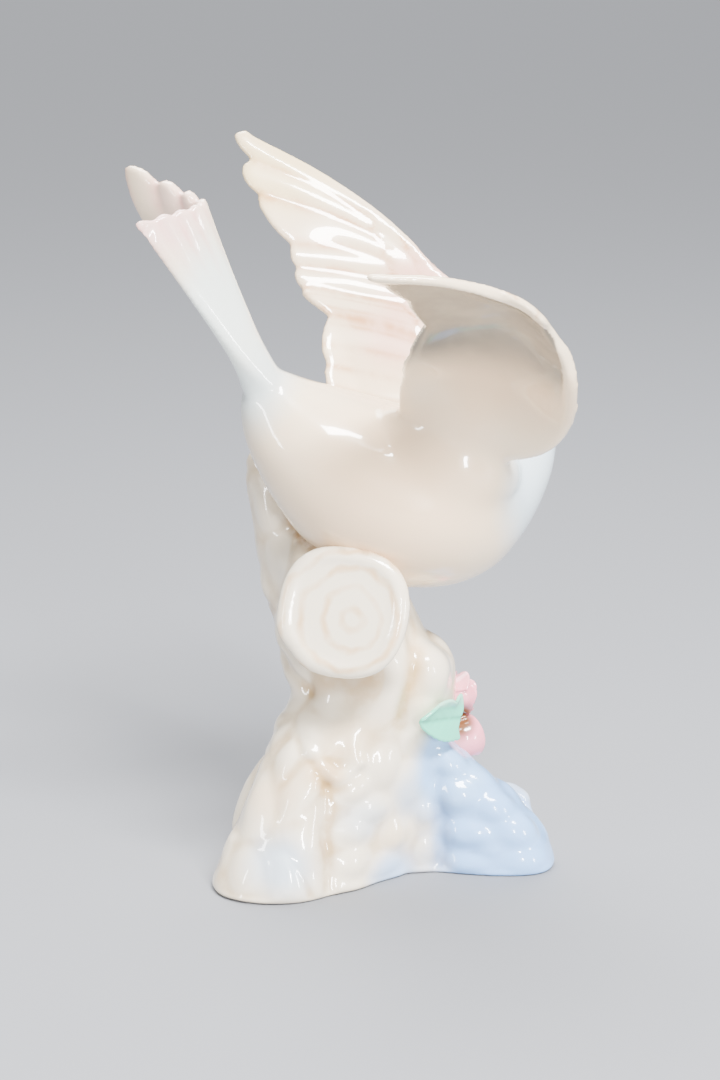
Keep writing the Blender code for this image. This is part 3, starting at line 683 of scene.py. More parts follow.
def make_glaze_skin():
    """The glaze's own surface: slow waves from its running, fine orange peel and a few pinholes."""
    effect, given, result = new_effect(
        "glaze_skin",
        {"Place": Vector((0, 0, 0)), "Waves": 0.6, "Peel": 0.05, "Pinholes": 0.3, "Gloss": 0.2},
        {"Height": 0.0, "Roughness": 0.2},
    )
    slow = clouds(effect, given["Place"], 0.11, 1.0)
    fine = clouds(effect, given["Place"], 1.3, 2.0)
    dots = add_node(effect, "TexVoronoi", Vector=given["Place"], Scale=0.16).outputs["Distance"]
    hole = ramp(effect, dots, 0.045, 0.02)
    wave = maths(effect, "MULTIPLY", slow, given["Waves"])
    raised = maths(effect, "ADD", wave, maths(effect, "MULTIPLY", fine, given["Peel"]))
    height = maths(effect, "SUBTRACT", raised, maths(effect, "MULTIPLY", hole, given["Pinholes"]))
    rough = maths(effect, "ADD", maths(effect, "MULTIPLY", fine, 0.08), given["Gloss"])
    effect.links.new(height, result["Height"])
    effect.links.new(rough, result["Roughness"])
    return effect


tint_and_painted_shade_zone = make_tint_and_painted_shade_zone()
wash_and_painted_shade = make_wash_and_painted_shade()
glaze_skin = make_glaze_skin()


def add_effect(tree, effect, **sockets):
    node = tree.nodes.new("ShaderNodeGroup")
    node.node_tree = effect
    for name, value in sockets.items():
        plug(tree, node.inputs[name], value)
    return node.outputs


def start_glaze(name, waves=0.6):
    """A clear glaze over colour: its node tree, shader and the place on the piece in millimetres."""
    material = bpy.data.materials.new(name)
    material.use_nodes = True
    tree = material.node_tree
    shader = tree.nodes["Principled BSDF"]
    shader.inputs["Specular IOR Level"].default_value = 0.35
    shader.inputs["Coat Weight"].default_value = 1.0
    shader.inputs["Coat Roughness"].default_value = 0.03
    place = vectors(tree, "SCALE", _0=add_node(tree, "TexCoord").outputs["Object"], Scale=1 / MM)
    skin = add_effect(tree, glaze_skin, Place=place, Waves=waves)
    bump = add_node(tree, "Bump", Height=skin["Height"], Strength=0.35, Distance=0.0004)
    tree.links.new(bump.outputs[0], shader.inputs["Normal"])
    tree.links.new(skin["Roughness"], shader.inputs["Roughness"])
    return material, tree, shader, place


def spray(tree, colour, place, zones):
    """Sprays one tint after another: mix, centre, reach, wander, softness of the edge and strength."""
    for mix, centre, reach, wander, edge, strength in zones:
        colour = add_effect(
            tree, tint_and_painted_shade_zone, Colour=colour, Tint=linear(mix), Place=place, Centre=centre, Reach=reach,
            Wander=wander, Edge=edge, Strength=strength,
        )["Colour"]
    return colour


def marked(tree, name):
    return add_node(tree, "Attribute", {"attribute_name": name}).outputs["Fac"]


def wash(tree, colour, place, mix, hollow, grain, strength, thinnest=0.25):
    """Washes a mix over the colour, as a stain or as painted shade. It settles where a mark, by its
    name, or a mask says it is hollow.
    """
    if isinstance(hollow, str):
        hollow = marked(tree, hollow)
    return add_effect(
        tree, wash_and_painted_shade, Colour=colour, Wash=linear(mix), Place=place, Hollow=hollow, Grain=grain,
        Thinnest=thinnest, Strength=strength,
    )["Colour"]


DOVE_TINTS = (
    # The flank and belly, and the near wing's underside, warm.
    ("EFCBA2", (2, -18, 113), (42, 30, 38), 0.3, 0.75, 0.75),
    ("ECC293", (24, -38, 142), (32, 26, 26), 0.3, 0.6, 0.7),
    # The breast and neck, cool white.
    ("DCEBF2", (44, 4, 112), (21, 34, 34), 0.25, 0.6, 1.0),
    # The rump under the tail, and the tail.
    ("D3E0E0", (-36, -8, 142), (17, 18, 20), 0.3, 0.75, 0.9),
    ("E2EFEC", (-46, -14, 162), (24, 20, 32), 0.3, 0.75, 0.85),
    # The tail's end, pink.
    ("F9CBC8", (-60, -18, 190), (20, 24, 24), 0.3, 0.75, 0.7),
    # The far wing's shoulder and coverts, pink, and its tip, cream.
    ("F9B7AA", (10, 38, 160), (19, 14, 17), 0.4, 0.75, 0.7),
    ("F8BFAE", (2, 28, 146), (18, 16, 16), 0.5, 0.75, 0.7),
    ("F5DDA6", (-32, 46, 190), (26, 14, 26), 0.4, 0.75, 0.75),
    # The bill.
    ("C07E68", (43.4, 26.5, 128.6), (5.5, 6.5, 5.0), 0.0, 0.4, 0.9),
)
EYE_PAINT = (2.4, 2.4, 2.4)
dove_finish, tree, shader, place = start_glaze("dove_glaze")
colour = spray(tree, linear("F6DFBF"), place, DOVE_TINTS)
# Grey-brown painted shade in the wings' bowls, where their undersides overhang.
colour = wash(tree, colour, place, "6C6252", "bowl_painted_shade", 0.05, 0.95, thinnest=0.8)
colour = wash(tree, colour, place, "C98645", "groove", 0.12, 0.8)
colour = wash(tree, colour, place, "E8938C", "crease", 0.12, 0.5)
colour = spray(tree, colour, place, [("2A211E", tuple(eye), EYE_PAINT, 0.0, 0.15, 1.0) for eye in eyes])
tree.links.new(colour, shader.inputs["Base Color"])
dove.data.materials.append(dove_finish)

# The tree stump: a trunk cast with spreading roots, with a sawn branch stub towards the front, a
# broken spur behind the rump and a rootlet on the right. The bark was modelled with a wooden tool.
TRUNK_STATIONS = (
    (0, -2, 6, 22, 17.5),
    (12, -2, 6, 21.5, 17),
    (25, -2.5, 5.5, 22, 17),
    (37, -3, 5, 23, 17.5),
    (50, -3, 5, 23.5, 18),
    (61, -4, 5, 24, 18),
    (70, -9, 4, 19.8, 17.5),
    (80, -11.5, 3, 18, 16.5),
    (90, -13.5, 3, 15.5, 15),
    (97, -14.5, 3, 12, 12),
)
# Each root: bearing, reach beyond the trunk, height, fall-off up the trunk, half angle, squareness.
ROOTS = (
    (218, 34.5, 52, 1.4, 37, 2),
    (352, 30, 35.5, 1.8, 21, 3),
    (22, 24.5, 32, 1.8, 20, 2),
    (170, 21.5, 38.5, 2.4, 15, 2),
    (75, 14, 40, 1.6, 22, 2),
    (122, 15, 42, 1.6, 20, 2),
)
# Each furrow in the bark: bearing, depth, top and half angle.
FURROWS = ((249, 2.2, 44, 7), (303, 1.6, 52, 8), (192, 1.5, 36, 7), (100, 1.5, 50, 7), (46, 1.6, 40, 8))
FOOT_ROUNDING = 2.0
TRUNK_TOP = 97.0
STUMP_SIDES = 240
STUMP_ROWS = 96
STUMP_VOXEL = 0.6
SPUR_STATIONS = (
    (-18.5, 6, 60, 11.5),
    (-20.5, 9, 71, 11.8),
    (-23.5, 12, 83, 11.5),
    (-27, 13, 94, 10.2),
    (-30, 14, 104, 8.8),
    (-33, 14, 111.5, 7),
    (-34.5, 14, 114.5, 4.6),
)
ROOTLET_STATIONS = (
    (28, 18, 16, 4),
    (34, 22, 14.8, 3),
    (38.5, 24.5, 13.4, 2.7),
    (41.4, 24.5, 9.6, 2.6),
    (41.6, 21, 6.2, 2.8),
    (38, 15, 4.5, 3.5),
)
STUB_ROOT = np.array((-8.0, 5.0, 74.0))
STUB_FACE = np.array((-11.5, -24.0, 81.5))
STUB_RADIUS = 18.6
STUB_SQUARENESS = 0.03
STUB_SQUARE_AT = math.radians(142)
STUB_SIDES = 144
STUB_STEPS = 84
# Along the stub: distance out from the sawn face in millimetres, and share of its radius.
STUB_RUN = (
    (-30, 0.84), (-24, 0.84), (-18, 0.86), (-9, 0.90), (-4.2, 0.955), (-2.4, 0.988), (-1.4, 0.99),
    (-0.6, 0.97), (0, 0.93), (0.5, 0.87), (0.65, 0.82), (0.4, 0.78), (0, 0.73), (-0.2, 0.56), (-0.2, 0.3),
    (-0.3, 0.02),
)
# Where bark has broken away from the saw cut's edge: bearing round it, depth as a share and sharpness.
STUB_CHIPS = ((322, 0.055, 30), (345, -0.02, 30), (95, 0.015, 8), (215, 0.02, 12))
# Where the spur, the stub and the rootlet grow out of the trunk, and the smooth left-hand root.
STUMP_SPONGED = (
    ((-24, 4, 80), (12, 14, 26), 100),
    ((-10, -8, 58), (24, 14, 10), 100),
    ((30, 12, 12), (12, 14, 12), 40),
    ((-36, -26, 20), (22, 20, 28), 200),
)


def trunk_at(height):
    """Centre and half widths of the trunk at a height."""
    low, high = 0.0, 1.0
    for _ in range(24):
        middle = (low + high) / 2
        if spline(TRUNK_STATIONS, middle)[0] < height:
            low = middle
        else:
            high = middle
    return spline(TRUNK_STATIONS, low)[1:]


def bearing_share(bearings, line, half_angle):
    """How far bearings lie from a line up the trunk, as shares of a half angle."""
    return np.abs((bearings - line + 180) % 360 - 180) / half_angle


def bark_ring(bearings, height):
    """Points of the bark at a height, at bearings in degrees round the trunk."""
    x, y, half_x, half_y = trunk_at(height)
    turn = np.radians(bearings)
    radius = 1 / np.hypot(np.cos(turn) / half_x, np.sin(turn) / half_y)
    reach = 0.0
    for root, extra, top, fall, half_angle, square in ROOTS:
        rise = max(0.0, 1 - (height / top) ** fall)
        aside = bearing_share(bearings, root, half_angle) ** square
        reach = reach + (extra * rise * np.exp(-aside)) ** 3
    radius = radius + reach ** (1 / 3)
    for line, depth, top, half_angle in FURROWS:
        rise = max(0.0, 1 - height / top)
        radius = radius - depth * rise ** 0.5 * furrow(bearing_share(bearings, line, half_angle), 1)
    if height < FOOT_ROUNDING:
        radius = radius - FOOT_ROUNDING * (1 - height / FOOT_ROUNDING) ** 2 * 0.6
    level = np.full(len(turn), height)
    return np.stack([x + radius * np.cos(turn), y + radius * np.sin(turn), level], axis=1)


stump_clay = []
bearings = np.arange(STUMP_SIDES) * 360 / STUMP_SIDES
heights = [FOOT_ROUNDING * i / 4 for i in range(5)]
heights += [FOOT_ROUNDING + (TRUNK_TOP - FOOT_ROUNDING) * (i + 1) / STUMP_ROWS for i in range(STUMP_ROWS)]
loft(stump_clay, [bark_ring(bearings, height) for height in heights])
rod(stump_clay, SPUR_STATIONS, 48)
rod(stump_clay, ROOTLET_STATIONS, 32)

stub_aim = unit(STUB_FACE - STUB_ROOT)
stub_right = unit(np.cross(stub_aim, (0, 0, 1)))
stub_up = np.cross(stub_right, stub_aim)
stub_turns = np.linspace(0, 2 * math.pi, STUB_SIDES, endpoint=False)[:, None]
stub_square = 1 + STUB_SQUARENESS * np.cos(4 * (stub_turns - STUB_SQUARE_AT))
for bearing, depth, sharp in STUB_CHIPS:
    stub_square = stub_square - depth * np.exp(sharp * (np.cos(stub_turns - math.radians(bearing)) - 1))
stub_spokes = stub_right * np.cos(stub_turns) + stub_up * np.sin(stub_turns)
stub_path = [spline(STUB_RUN, i / STUB_STEPS) for i in range(STUB_STEPS + 1)]
loft(stump_clay, [
    STUB_FACE + stub_aim * out + stub_spokes * stub_square * (STUB_RADIUS * share)
    for out, share in stub_path
])

stump = cast("porcelain_stump", stump_clay, STUMP_VOXEL)
stump_points = points_of(stump.data)
# The stub's saw cut keeps its crisp lip, and everything else is sponged.
off_stub = (stump_points - STUB_FACE) @ stub_aim
saw_cut = smooth_step((off_stub + 4.0) / 2.0) * (
    np.linalg.norm(stump_points - STUB_FACE, axis=1) < 1.1 * STUB_RADIUS
)
stump_points = sponge(stump.data, stump_points, 14, 1 - saw_cut)
stump_points = sponge(stump.data, stump_points, 3)
for centre, reach, rounds in STUMP_SPONGED:
    weight = zone(stump_points, centre, reach) * (1 - saw_cut)
    stump_points = sponge(stump.data, stump_points, rounds, weight)
move_points(stump.data, stump_points)

# The bark's relief: rounded knobs all over, and in front the larger lumps that the modeller built
# up, with hollows between them that hold a tan wash.
# Each lump: centre, reach along X, Y and Z, and height.
BARK_LUMPS = (
    # The left-hand root is smooth but for two small swellings.
    ((-37, -18, 26), (7, 10, 11), 0.7),
    ((-39, -27, 9), (7, 9, 8), 0.5),
    # The middle, from the foot up.
    ((-8, -20, 8), (7, 9, 5), 0.9),
    ((0, -14, 5), (7, 9, 5), 0.8),
    ((-8, -19, 17), (7, 9, 5), 0.9),
    ((4, -11, 13), (6, 9, 6), 1),
    ((-3, -15, 22), (7, 9, 5), 1),
    ((-8, -17, 29), (7, 9, 5.5), 1.1),
    ((0, -13, 33), (6, 9, 8), 1.1),
    ((7, -9, 27), (6, 8, 9), 1),
    ((9, -8, 40), (6, 8, 7), 0.5),
    # The blue root's level rolls.
    ((12, -7, 18), (4.5, 7, 5), 1),
    ((13, -7, 7), (5, 7, 5), 0.7),
    ((19, -5, 33), (8, 9, 6), 1.3),
    ((20, -7, 23), (9, 9, 6), 1.3),
    ((23, -8, 12), (9, 9, 5), 1.3),
    ((23, -8, 3), (9, 9, 4), 1),
    ((29, -3, 28), (8, 9, 6), 0.8),
    ((32, -7, 20), (8, 9, 6), 1.2),
    ((38, -7, 13), (9, 9, 6), 1.2),
    ((40, -9, 4), (9, 9, 5), 0.8),
    # The knob right of the stub, and the collar under it.
    ((15, -7, 61), (8, 9, 12), 1.4),
    ((12, -9, 48), (6, 8, 7), 0.8),
    ((-26, -2, 56), (6, 9, 8), 1),
    ((-28, 2, 68), (5, 9, 8), 1.2),
    # The spur's flat planes.
    ((-33, 6, 103), (6, 8, 8), 0.7),
    ((-29, 4, 90), (6, 8, 8), 0.7),
)
# Each line drawn with the tool's edge: its points, half width and depth. A raised one is below 0.
DRAWN_LINES = (
    (((-16, -20, 30), (-16, -21, 25), (-16, -23, 19), (-15, -24, 11), (-15, -25, 1)), 2, 1.2),
    (((15, -7, 34), (15, -7, 26), (15.5, -7, 20), (16, -7, 13), (16, -7, 1)), 2.4, 1.3),
    (((8, -2, 74), (9, -8, 66), (8, -11, 59), (6, -12, 53), (5, -12, 46)), 2, 1.2),
    (((-30, 4, 63), (-28, 0, 60), (-25, -3, 57), (-22, -7, 54)), 2, 1.3),
    # The V-shaped ledge at the foot of the trunk, and the hollow under it.
    (((-21, -17, 40), (-17, -19, 36), (-14, -19, 32.5), (-11, -18, 33), (-6, -16, 36)), 1.5, -1.1),
    (((-20, -18, 37), (-17, -20, 33), (-14, -20, 29.5), (-10.5, -19, 30), (-6, -17, 33)), 1.5, 0.9),
    (((-29, 0, 66), (-27, -4, 61), (-24, -7, 57)), 1.6, -1),
)
LUMP_RISE = 1.9
LUMP_SPREAD = 0.76
KNOB_RISE = 0.9
# Where the lumps are, the whole bark lies lower, so that they stand on it.
FRONT_SINK = 1.1
# The bark runs out this far from the dove, where the two were luted.
SEAM_REACH = 12.0
SEAM_WIDTH = 4.0
# The front of the trunk between the saw cut and the ledge is smooth.
SMOOTH_FRONT = ((-3, -14, 47), (20, 10, 10), 50)


def curve_points(line, step=0.7):
    length = np.linalg.norm(np.diff(np.array(line, float), axis=0), axis=1).sum()
    count = max(2, int(length / step))
    return np.array([spline(line, i / count) for i in range(count + 1)])


stump_points = points_of(stump.data)
stump_normals = normals_of(stump.data)
bark_depth = np.zeros(len(stump_points))
for line, width, depth in DRAWN_LINES:
    trace = curve_points(line)
    low, high = trace.min(axis=0) - 3 * width, trace.max(axis=0) + 3 * width
    near = np.flatnonzero(((stump_points > low) & (stump_points < high)).all(axis=1))
    away = np.linalg.norm(stump_points[near][:, None, :] - trace[None], axis=2).min(axis=1)
    bark_depth[near] += depth * furrow(away, width)
lumps = np.zeros(len(stump_points))
front = np.zeros(len(stump_points))
for centre, reach, height in BARK_LUMPS:
    away = np.linalg.norm((stump_points - np.array(centre)) / np.array(reach), axis=1)
    lumps += (LUMP_RISE * height * np.exp(-((away / LUMP_SPREAD) ** 3))) ** 4
    front = np.maximum(front, np.exp(-((away / 1.3) ** 4)))
lumps = lumps ** 0.25

knobs = np.empty(len(stump_points))
for n, (x, y, z) in enumerate(stump_points):
    bend = noise.noise(Vector((x / 16, y / 16, z / 20)))
    distances, centres = noise.voronoi(Vector((x / 12 + bend * 0.7, y / 12, z / 17 + bend * 0.5)))
    knobs[n] = smooth_step((distances[1] - distances[0]) / 0.6) + 0.5 * bend
knobs = knobs * (1 - 0.85 * front)
bark = (1 - saw_cut) * smooth_step(stump_points[:, 2] / 2.5)
dove_tree = BVHTree.FromObject(dove, bpy.context.evaluated_depsgraph_get())
far_off = SEAM_REACH * MM
nearest = [dove_tree.find_nearest(Vector(point) * MM, far_off)[3] for point in stump_points]
to_dove = np.array([far_off if distance is None else distance for distance in nearest]) / MM
off_seam = smooth_step((to_dove - 0.5) / 3.0)
relief = KNOB_RISE * knobs - 0.4 + lumps - FRONT_SINK * front - bark_depth
stump_points += stump_normals * (bark * off_seam * relief)[:, None]
stump_points = sponge(stump.data, stump_points, 6, bark * off_seam)
centre, reach, rounds = SMOOTH_FRONT
stump_points = sponge(stump.data, stump_points, rounds, zone(stump_points, centre, reach) * bark)
move_points(stump.data, stump_points)
hollow = 0.8 * smooth_step((0.55 - knobs - lumps) / 0.6) + bark_depth
mark(stump.data, "groove", np.clip(hollow * bark, 0, 1))
mark(stump.data, "seam", smooth_step(1 - to_dove / SEAM_WIDTH))
mark(stump.data, "saw_cut", saw_cut)
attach(stump, "root")
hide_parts("tree_stump")

# The stump's finish: cream with tan wash in the bark's hollows, faint blue low down in front, and
# pastel blue over the right-hand root. The saw cut has faint growth rings, and grime lines the seam.
STUMP_CREAMS_AND_SHADE = (
    # Tan that ran down from the ledges.
    ("ECC189", (-17, -19, 34), (9, 9, 8), 0.6, 0.75, 0.7),
    ("F0CFA0", (-8, -16, 42), (14, 12, 9), 0.6, 0.75, 0.45),
    ("F0D0A4", (3, -12, 12), (13, 12, 12), 0.6, 0.75, 0.4),
    ("F2D0A6", (-30, -22, 30), (13, 12, 12), 0.6, 0.75, 0.5),
    ("E8C48E", (8, -6, 58), (6, 10, 15), 0.4, 0.75, 0.6),
    # Grey-brown painted shade under the saw cut.
    ("B9AA94", (-8, -13, 59), (17, 10, 6.5), 0.3, 0.75, 0.9),
)
STUMP_BLUES = (
    # The blue over the right-hand root, sprayed on after the tan.
    ("A9CBF6", (6, -14, 2), (13, 12, 11), 0.5, 0.6, 0.85),
    ("B4D1F4", (9, -9, 24), (9, 10, 12), 0.5, 0.75, 0.6),
    ("96C3FA", (41, -4, 8), (35, 32, 36), 0.4, 0.35, 1.0),
    ("9CC8F9", (19, -4, 32), (14, 16, 17), 0.2, 0.45, 1.0),
    ("AECEF4", (22, 20, 20), (30, 20, 28), 0.3, 0.75, 0.8),
    # The faint blue low down in front.
    ("BFD8F0", (-28, -28, 11), (13, 12, 13), 0.5, 0.75, 0.7),
    ("C9DBEC", (-4, -18, 20), (13, 10, 9), 0.5, 0.75, 0.5),
)
RING_PITCH = 5.2
RING_WANDER = 7.0
stump_finish, tree, shader, place = start_glaze("stump_glaze")
colour = spray(tree, linear("F6E8D0"), place, STUMP_CREAMS_AND_SHADE)
colour = wash(tree, colour, place, "B68B40", "groove", 0.1, 0.75)
colour = spray(tree, colour, place, STUMP_BLUES)
# Blue-grey painted shade in the hollows between the blue root's rolls.
blue_part = add_effect(
    tree, tint_and_painted_shade_zone, Place=place, Centre=(36, -4, 16), Reach=(31, 34, 34), Wander=0.2, Edge=0.4,
)["Mask"]
blue_hollow_shade = maths(tree, "MULTIPLY", blue_part, marked(tree, "groove"))
colour = wash(tree, colour, place, "7391BE", blue_hollow_shade, 0.1, 0.7)
# The growth rings lie round a heart a little to the right of the cut's middle and below it.
heart = STUB_FACE - stub_right * 1.9 - stub_up * 1.7
heart_away = vectors(tree, "LENGTH", "Value", _0=vectors(tree, "SUBTRACT", _0=place, _1=tuple(heart)))
ring_drift = maths(tree, "MULTIPLY_ADD", clouds(tree, place, 0.09, 2.0), RING_WANDER, heart_away)
ring_wave = maths(tree, "SINE", maths(tree, "MULTIPLY", ring_drift, 2 * math.pi / RING_PITCH))
ring_line = ramp(tree, ring_wave, 0.1, 1.0, kind="LINEAR")
ring_mask = maths(tree, "MULTIPLY", ring_line, marked(tree, "saw_cut"))
colour = wash(tree, colour, place, "E0B47C", ring_mask, 0.12, 0.72)
colour = wash(tree, colour, place, "8A6238", "seam", 0.3, 0.7)
tree.links.new(colour, shader.inputs["Base Color"])
stump.data.materials.append(stump_finish)

# The two roses, each built by hand from thin petals of clay pressed round a rolled bud, then stuck
# to the bark with slip. They are pink under the glaze, with brown painted shade deep between the
# petals and where one rose hangs over the other.
# Each rose: bearing round the trunk, height, radius, turn about its own axis (degrees), tilt up, how
# much its lips are ruffled, and its layers of petals from the outside in. Each layer: how many petals,
# radius, base, height and flare of the lip, half angle.
ROSES = {
    "rose_upper": (17, 46.6, 4.9, 262, 0.2, 0.08, (
        (4, 0.95, 0.30, 0.88, 0.22, 56),
        (3, 0.68, 0.30, 1.06, 0.16, 70),
        (3, 0.42, 0.30, 1.12, 0.06, 76),
        (2, 0.24, 0.30, 1.08, 0, 110),
    )),
    "rose_lower": (14, 33.2, 6.4, 294, -0.1, 0.02, (
        (3, 0.98, 0.30, 0.90, 0.02, 84),
        (3, 0.70, 0.30, 1.00, 0.04, 76),
        (2, 0.44, 0.30, 1.06, 0.03, 100),
        (2, 0.22, 0.30, 1.06, 0, 110),
    )),
}
ROSE_DEPTH = 1.2
PETAL_WALL = 0.62
PETAL_ROWS = 26
PETAL_COLUMNS = 30
FLOWER_VOXEL = 0.2
# Along the back of a rose: distance out from the bark and radius, as shares of its radius.
ROSE_BACK = ((-0.25, 0.5), (0.1, 0.6), (0.45, 0.3))


def bark_frame(bearing, height, tilt):
    """A place on the bark, the way out of it, the way up along it and the way round it."""
    def on_bark(aside, above):
        return bark_ring(np.array([float(bearing + aside)]), height + above)[0]

    spot = on_bark(0, 0)
    round_it = unit(on_bark(4, 0) - on_bark(-4, 0))
    up_it = unit(on_bark(0, 3) - on_bark(0, -3))
    out = unit(np.cross(round_it, up_it) + np.array((0, 0, tilt)))
    up = unit(up_it - out * up_it.dot(out))
    return spot, out, up, np.cross(up, out)


def make_rose(name):
    bearing, height, radius, turn, tilt, ruffle, layers = ROSES[name]
    spot, out, up, aside = bark_frame(bearing, height, tilt)
    clay = []
    for layer, (count, wide, base, lip, flare, half_angle) in enumerate(layers):
        for k in range(count):
            middle = math.radians(turn + 360 * k / count + 37 * layer)
            grid = []
            for v in np.linspace(0, 1, PETAL_ROWS):
                row = []
                for w in np.linspace(-1, 1, PETAL_COLUMNS):
                    # A petal is a piece of a hollow ball. One side tucks under its neighbour, its
                    # sides are lower than its middle, and its lip rolls outwards.
                    angle = middle + w * math.radians(half_angle) * (0.5 + 0.5 * v ** 0.6)
                    bowl = 0.35 + 1.5 * v * (1 - 0.16 * abs(w) ** 3)
                    lip_roll = max(0.0, v - 0.72) / 0.28
                    reach = wide * math.sin(bowl) * (1 - 0.1 * w) + flare * lip_roll ** 1.6
                    reach += ruffle * math.sin(3.6 * w + 2 * k + layer) * lip_roll
                    rise = -base + (lip + base) * (1 - math.cos(bowl)) / 1.27
                    rise += 1.5 * ruffle * math.sin(3.1 * w + k * 1.7 + layer) * lip_roll
                    row.append(
                        spot + (up * math.cos(angle) + aside * math.sin(angle)) * (radius * reach)
                        + out * (radius * ROSE_DEPTH * rise)
                    )
                grid.append(row)
            grid = np.array(grid)
            sheet(clay, grid, np.full(grid.shape[:2], PETAL_WALL / 2))
    # The back of the rose, which the petals were pressed on to.
    rod(clay, [(*(spot + out * (radius * rise)), radius * share) for rise, share in ROSE_BACK])
    rose = cast("porcelain_" + name, clay, FLOWER_VOXEL)
    points = sponge(rose.data, points_of(rose.data), 5)
    move_points(rose.data, points)
    # Each rose is marked darker towards its deep middle, for painted shade between the petals.
    axis = (points - spot) @ out / (radius * ROSE_DEPTH)
    away = np.linalg.norm(np.cross(points - spot, out), axis=1) / radius
    mark(rose.data, "groove", smooth_step((0.75 - axis) / 0.6) * smooth_step((1.05 - away) / 0.5))
    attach(rose, "root")
    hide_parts(name)
    return rose


rose_finish, tree, shader, place = start_glaze("rose_glaze", waves=0.3)
colour = spray(tree, linear("F99BAB"), place, (
    ("FCC4CC", (24, 16, 54), (9, 9, 7), 0.4, 0.75, 0.6),
    ("F79BAB", (26, 14, 36), (9, 9, 9), 0.5, 0.75, 0.5),
))
# Brown painted shade deep between the petals.
colour = wash(tree, colour, place, "B98A72", "groove", 0.3, 0.55)
# Brown painted shade where the upper rose hangs over the lower one.
colour = spray(tree, colour, place, (("74482A", (22.0, 6.5, 40.5), (6, 9, 6.5), 0.4, 0.55, 1.0),))
tree.links.new(colour, shader.inputs["Base Color"])
for rose_name in ROSES:
    make_rose(rose_name).data.materials.append(rose_finish)

# The leaf, cut from a thin sheet of clay, pinched along its midrib and pressed on to the bark beside
# the roses. It is mint green, paler where its upper edge is turned over, and toothed below.
LEAF_BEARING = 325
LEAF_HEIGHT = 46.0
LEAF_LENGTH = 16.2
LEAF_BREADTH = 11.5
LEAF_WALL = 1.1
LEAF_FOLD = 1.6
LEAF_LIFT = 2.0
LEAF_STAND = 0.9
LEAF_TILT = 0.1
LEAF_DROOP = 0.12
LEAF_ROWS = 64
LEAF_COLUMNS = 48

leaf_spot, leaf_out, leaf_up, leaf_aside = bark_frame(LEAF_BEARING, LEAF_HEIGHT, LEAF_TILT)
leaf_lie = unit(leaf_aside - leaf_up * LEAF_DROOP)
leaf_cross = np.cross(leaf_out, leaf_lie)
leaf_heart = leaf_spot + leaf_out * LEAF_STAND
leaf_grid = []
for i in range(LEAF_ROWS + 1):
    along = i / LEAF_ROWS
    half = LEAF_BREADTH / 2 * math.sin(math.pi / 2 * min(1.0, 0.06 + along / 0.8)) ** 0.8
    # The upper edge dips and then runs up into a point at the leaf's base.
    upper = half * (1 - 0.16 * furrow(along - 0.78, 0.1) + 0.12 * max(0.0, along - 0.84) / 0.16)
    row = []
    for over in np.linspace(-1, 1, LEAF_COLUMNS + 1):
        teeth = 1 + 0.05 * abs(math.sin(along * math.pi * 8)) * abs(over) ** 6 * (over < 0)
        bend = LEAF_FOLD * abs(over) * math.sin(math.pi * along) + LEAF_LIFT * (1 - along) ** 2
        # The upper edge is turned over in a soft wave.
        bend += 0.7 * max(0.0, over - 0.55) ** 1.5 * (1 + 0.6 * math.sin(along * 11)) / 0.3
        vein = abs(math.sin((along + 0.35 * abs(over)) * math.pi * 5))
        bend += 0.10 * vein * (1 - abs(over)) - 0.28 * furrow(over, 0.07)
        run = leaf_lie * ((along - 0.5) * LEAF_LENGTH + 0.7 * math.sin(over * 3.4) * along ** 4)
        wide = over * (upper if over > 0 else half) * teeth
        row.append(leaf_heart + run + leaf_cross * wide + leaf_out * bend)
    leaf_grid.append(row)
leaf_grid = np.array(leaf_grid)
leaf_clay = []
sheet(leaf_clay, leaf_grid, np.full(leaf_grid.shape[:2], LEAF_WALL / 2))
leaf = cast("porcelain_leaf", leaf_clay, FLOWER_VOXEL)
leaf_points = sponge(leaf.data, points_of(leaf.data), 4)
move_points(leaf.data, leaf_points)
leaf_over = (leaf_points - leaf_heart) @ leaf_cross / (LEAF_BREADTH / 2)
mark(leaf.data, "edge", smooth_step((leaf_over - 0.55) / 0.3))
mark(leaf.data, "groove", furrow(leaf_over, 0.1))
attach(leaf, "root")
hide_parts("leaf")
leaf_finish, tree, shader, place = start_glaze("leaf_glaze", waves=0.4)
colour = wash(tree, linear("62DCB8"), place, "3F9C80", "groove", 0.3, 0.6)
colour = wash(tree, colour, place, "B4E8CE", "edge", 0.3, 0.9)
tree.links.new(colour, shader.inputs["Base Color"])
leaf.data.materials.append(leaf_finish)

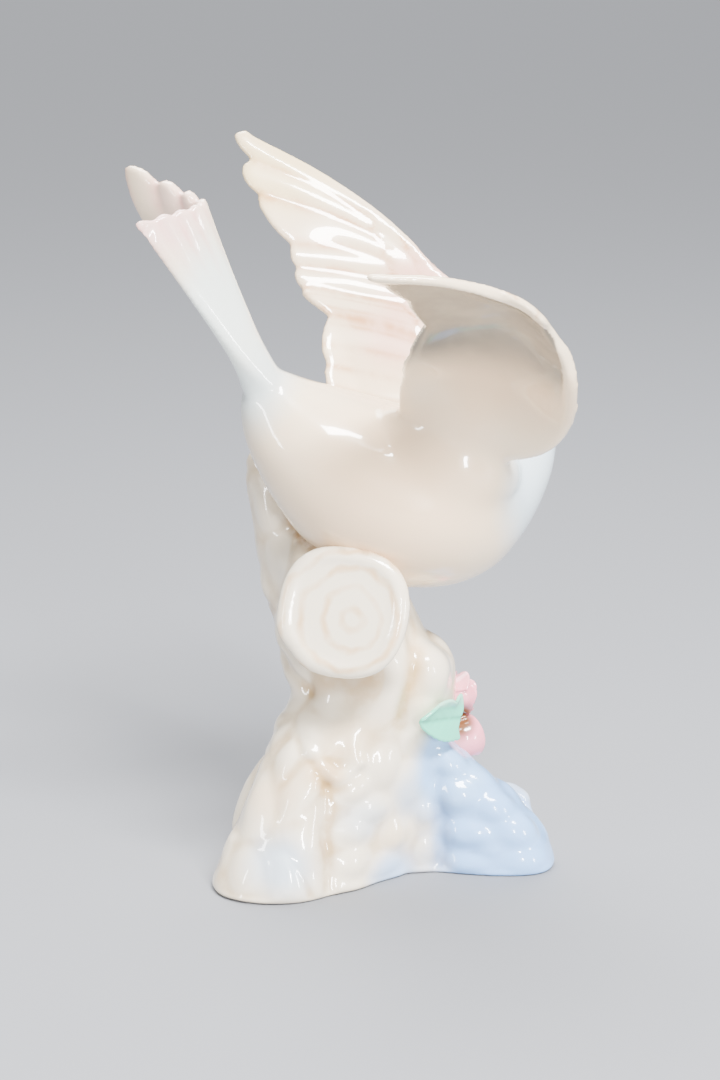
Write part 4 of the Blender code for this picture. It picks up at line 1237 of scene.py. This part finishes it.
# The floor, the lights and the camera: a pale table, soft boxes on both sides and above, a soft glow
# from behind, and the photograph's view from a little above the bird.
# Each soft box: name, place, what it aims at, size in metres and power.
SOFT_BOXES = (
    ("high_soft_box", (0.32, -0.62, 0.98), (0, 0, 0.12), (0.52, 0.22), 52),
    ("low_strip", (0.34, -0.92, 0.24), (0, 0, 0.08), (0.06, 0.26), 9),
    ("left_strip", (-0.62, -0.50, 0.22), (0, 0, 0.08), (0.05, 0.30), 2.5),
    ("right_strip", (0.60, -0.40, 0.12), (0, 0, 0.06), (0.06, 0.18), 3),
    ("top_soft_box", (-0.10, 0.25, 1.00), (0, 0, 0.1), (0.50, 0.40), 8),
)
FLOOR_HALF = 12


def stand(name, data, place=(0, 0, 0), turn=(0, 0, 0)):
    """Puts a lamp, the floor or the camera in the studio."""
    made = bpy.data.objects.new(name, data)
    made.location = place
    made.rotation_euler = turn
    bpy.context.scene.collection.objects.link(made)
    return made


for name, spot, aim, size, power in SOFT_BOXES:
    lamp = bpy.data.lights.new(name, "AREA")
    lamp.shape = "RECTANGLE"
    lamp.size, lamp.size_y = size
    lamp.energy = power
    stand(name, lamp, spot, (Vector(aim) - Vector(spot)).to_track_quat("-Z", "Y").to_euler())
sky = bpy.data.lights.new("back_wall_glow", "SUN")
sky.energy = 5.6
sky.angle = math.radians(50)
stand("back_wall_glow", sky, turn=(math.radians(-32), math.radians(-12), 0))

floor_mesh = bpy.data.meshes.new("floor")
corners = [(x * FLOOR_HALF, y * FLOOR_HALF, 0) for x, y in ((-1, -1), (1, -1), (1, 1), (-1, 1))]
floor_mesh.from_pydata(corners, [], [(0, 1, 2, 3)])
floor = stand("floor", floor_mesh)
paper = bpy.data.materials.new("pale_paper")
paper.use_nodes = True
paper_shader = paper.node_tree.nodes["Principled BSDF"]
paper_shader.inputs["Base Color"].default_value = (0.235, 0.242, 0.262, 1)
paper_shader.inputs["Roughness"].default_value = 0.9
floor.data.materials.append(paper)

world = bpy.data.worlds.new("studio")
world.use_nodes = True
background = world.node_tree.nodes["Background"]
background.inputs["Color"].default_value = (0.80, 0.83, 0.88, 1)
background.inputs["Strength"].default_value = 0.30
bpy.context.scene.world = world

lens = bpy.data.cameras.new("camera")
lens.lens = 85
lens.sensor_width = 36
bpy.context.scene.camera = stand("camera", lens, (-0.0068, -0.6835, 0.2659), (math.radians(76), 0, 0))
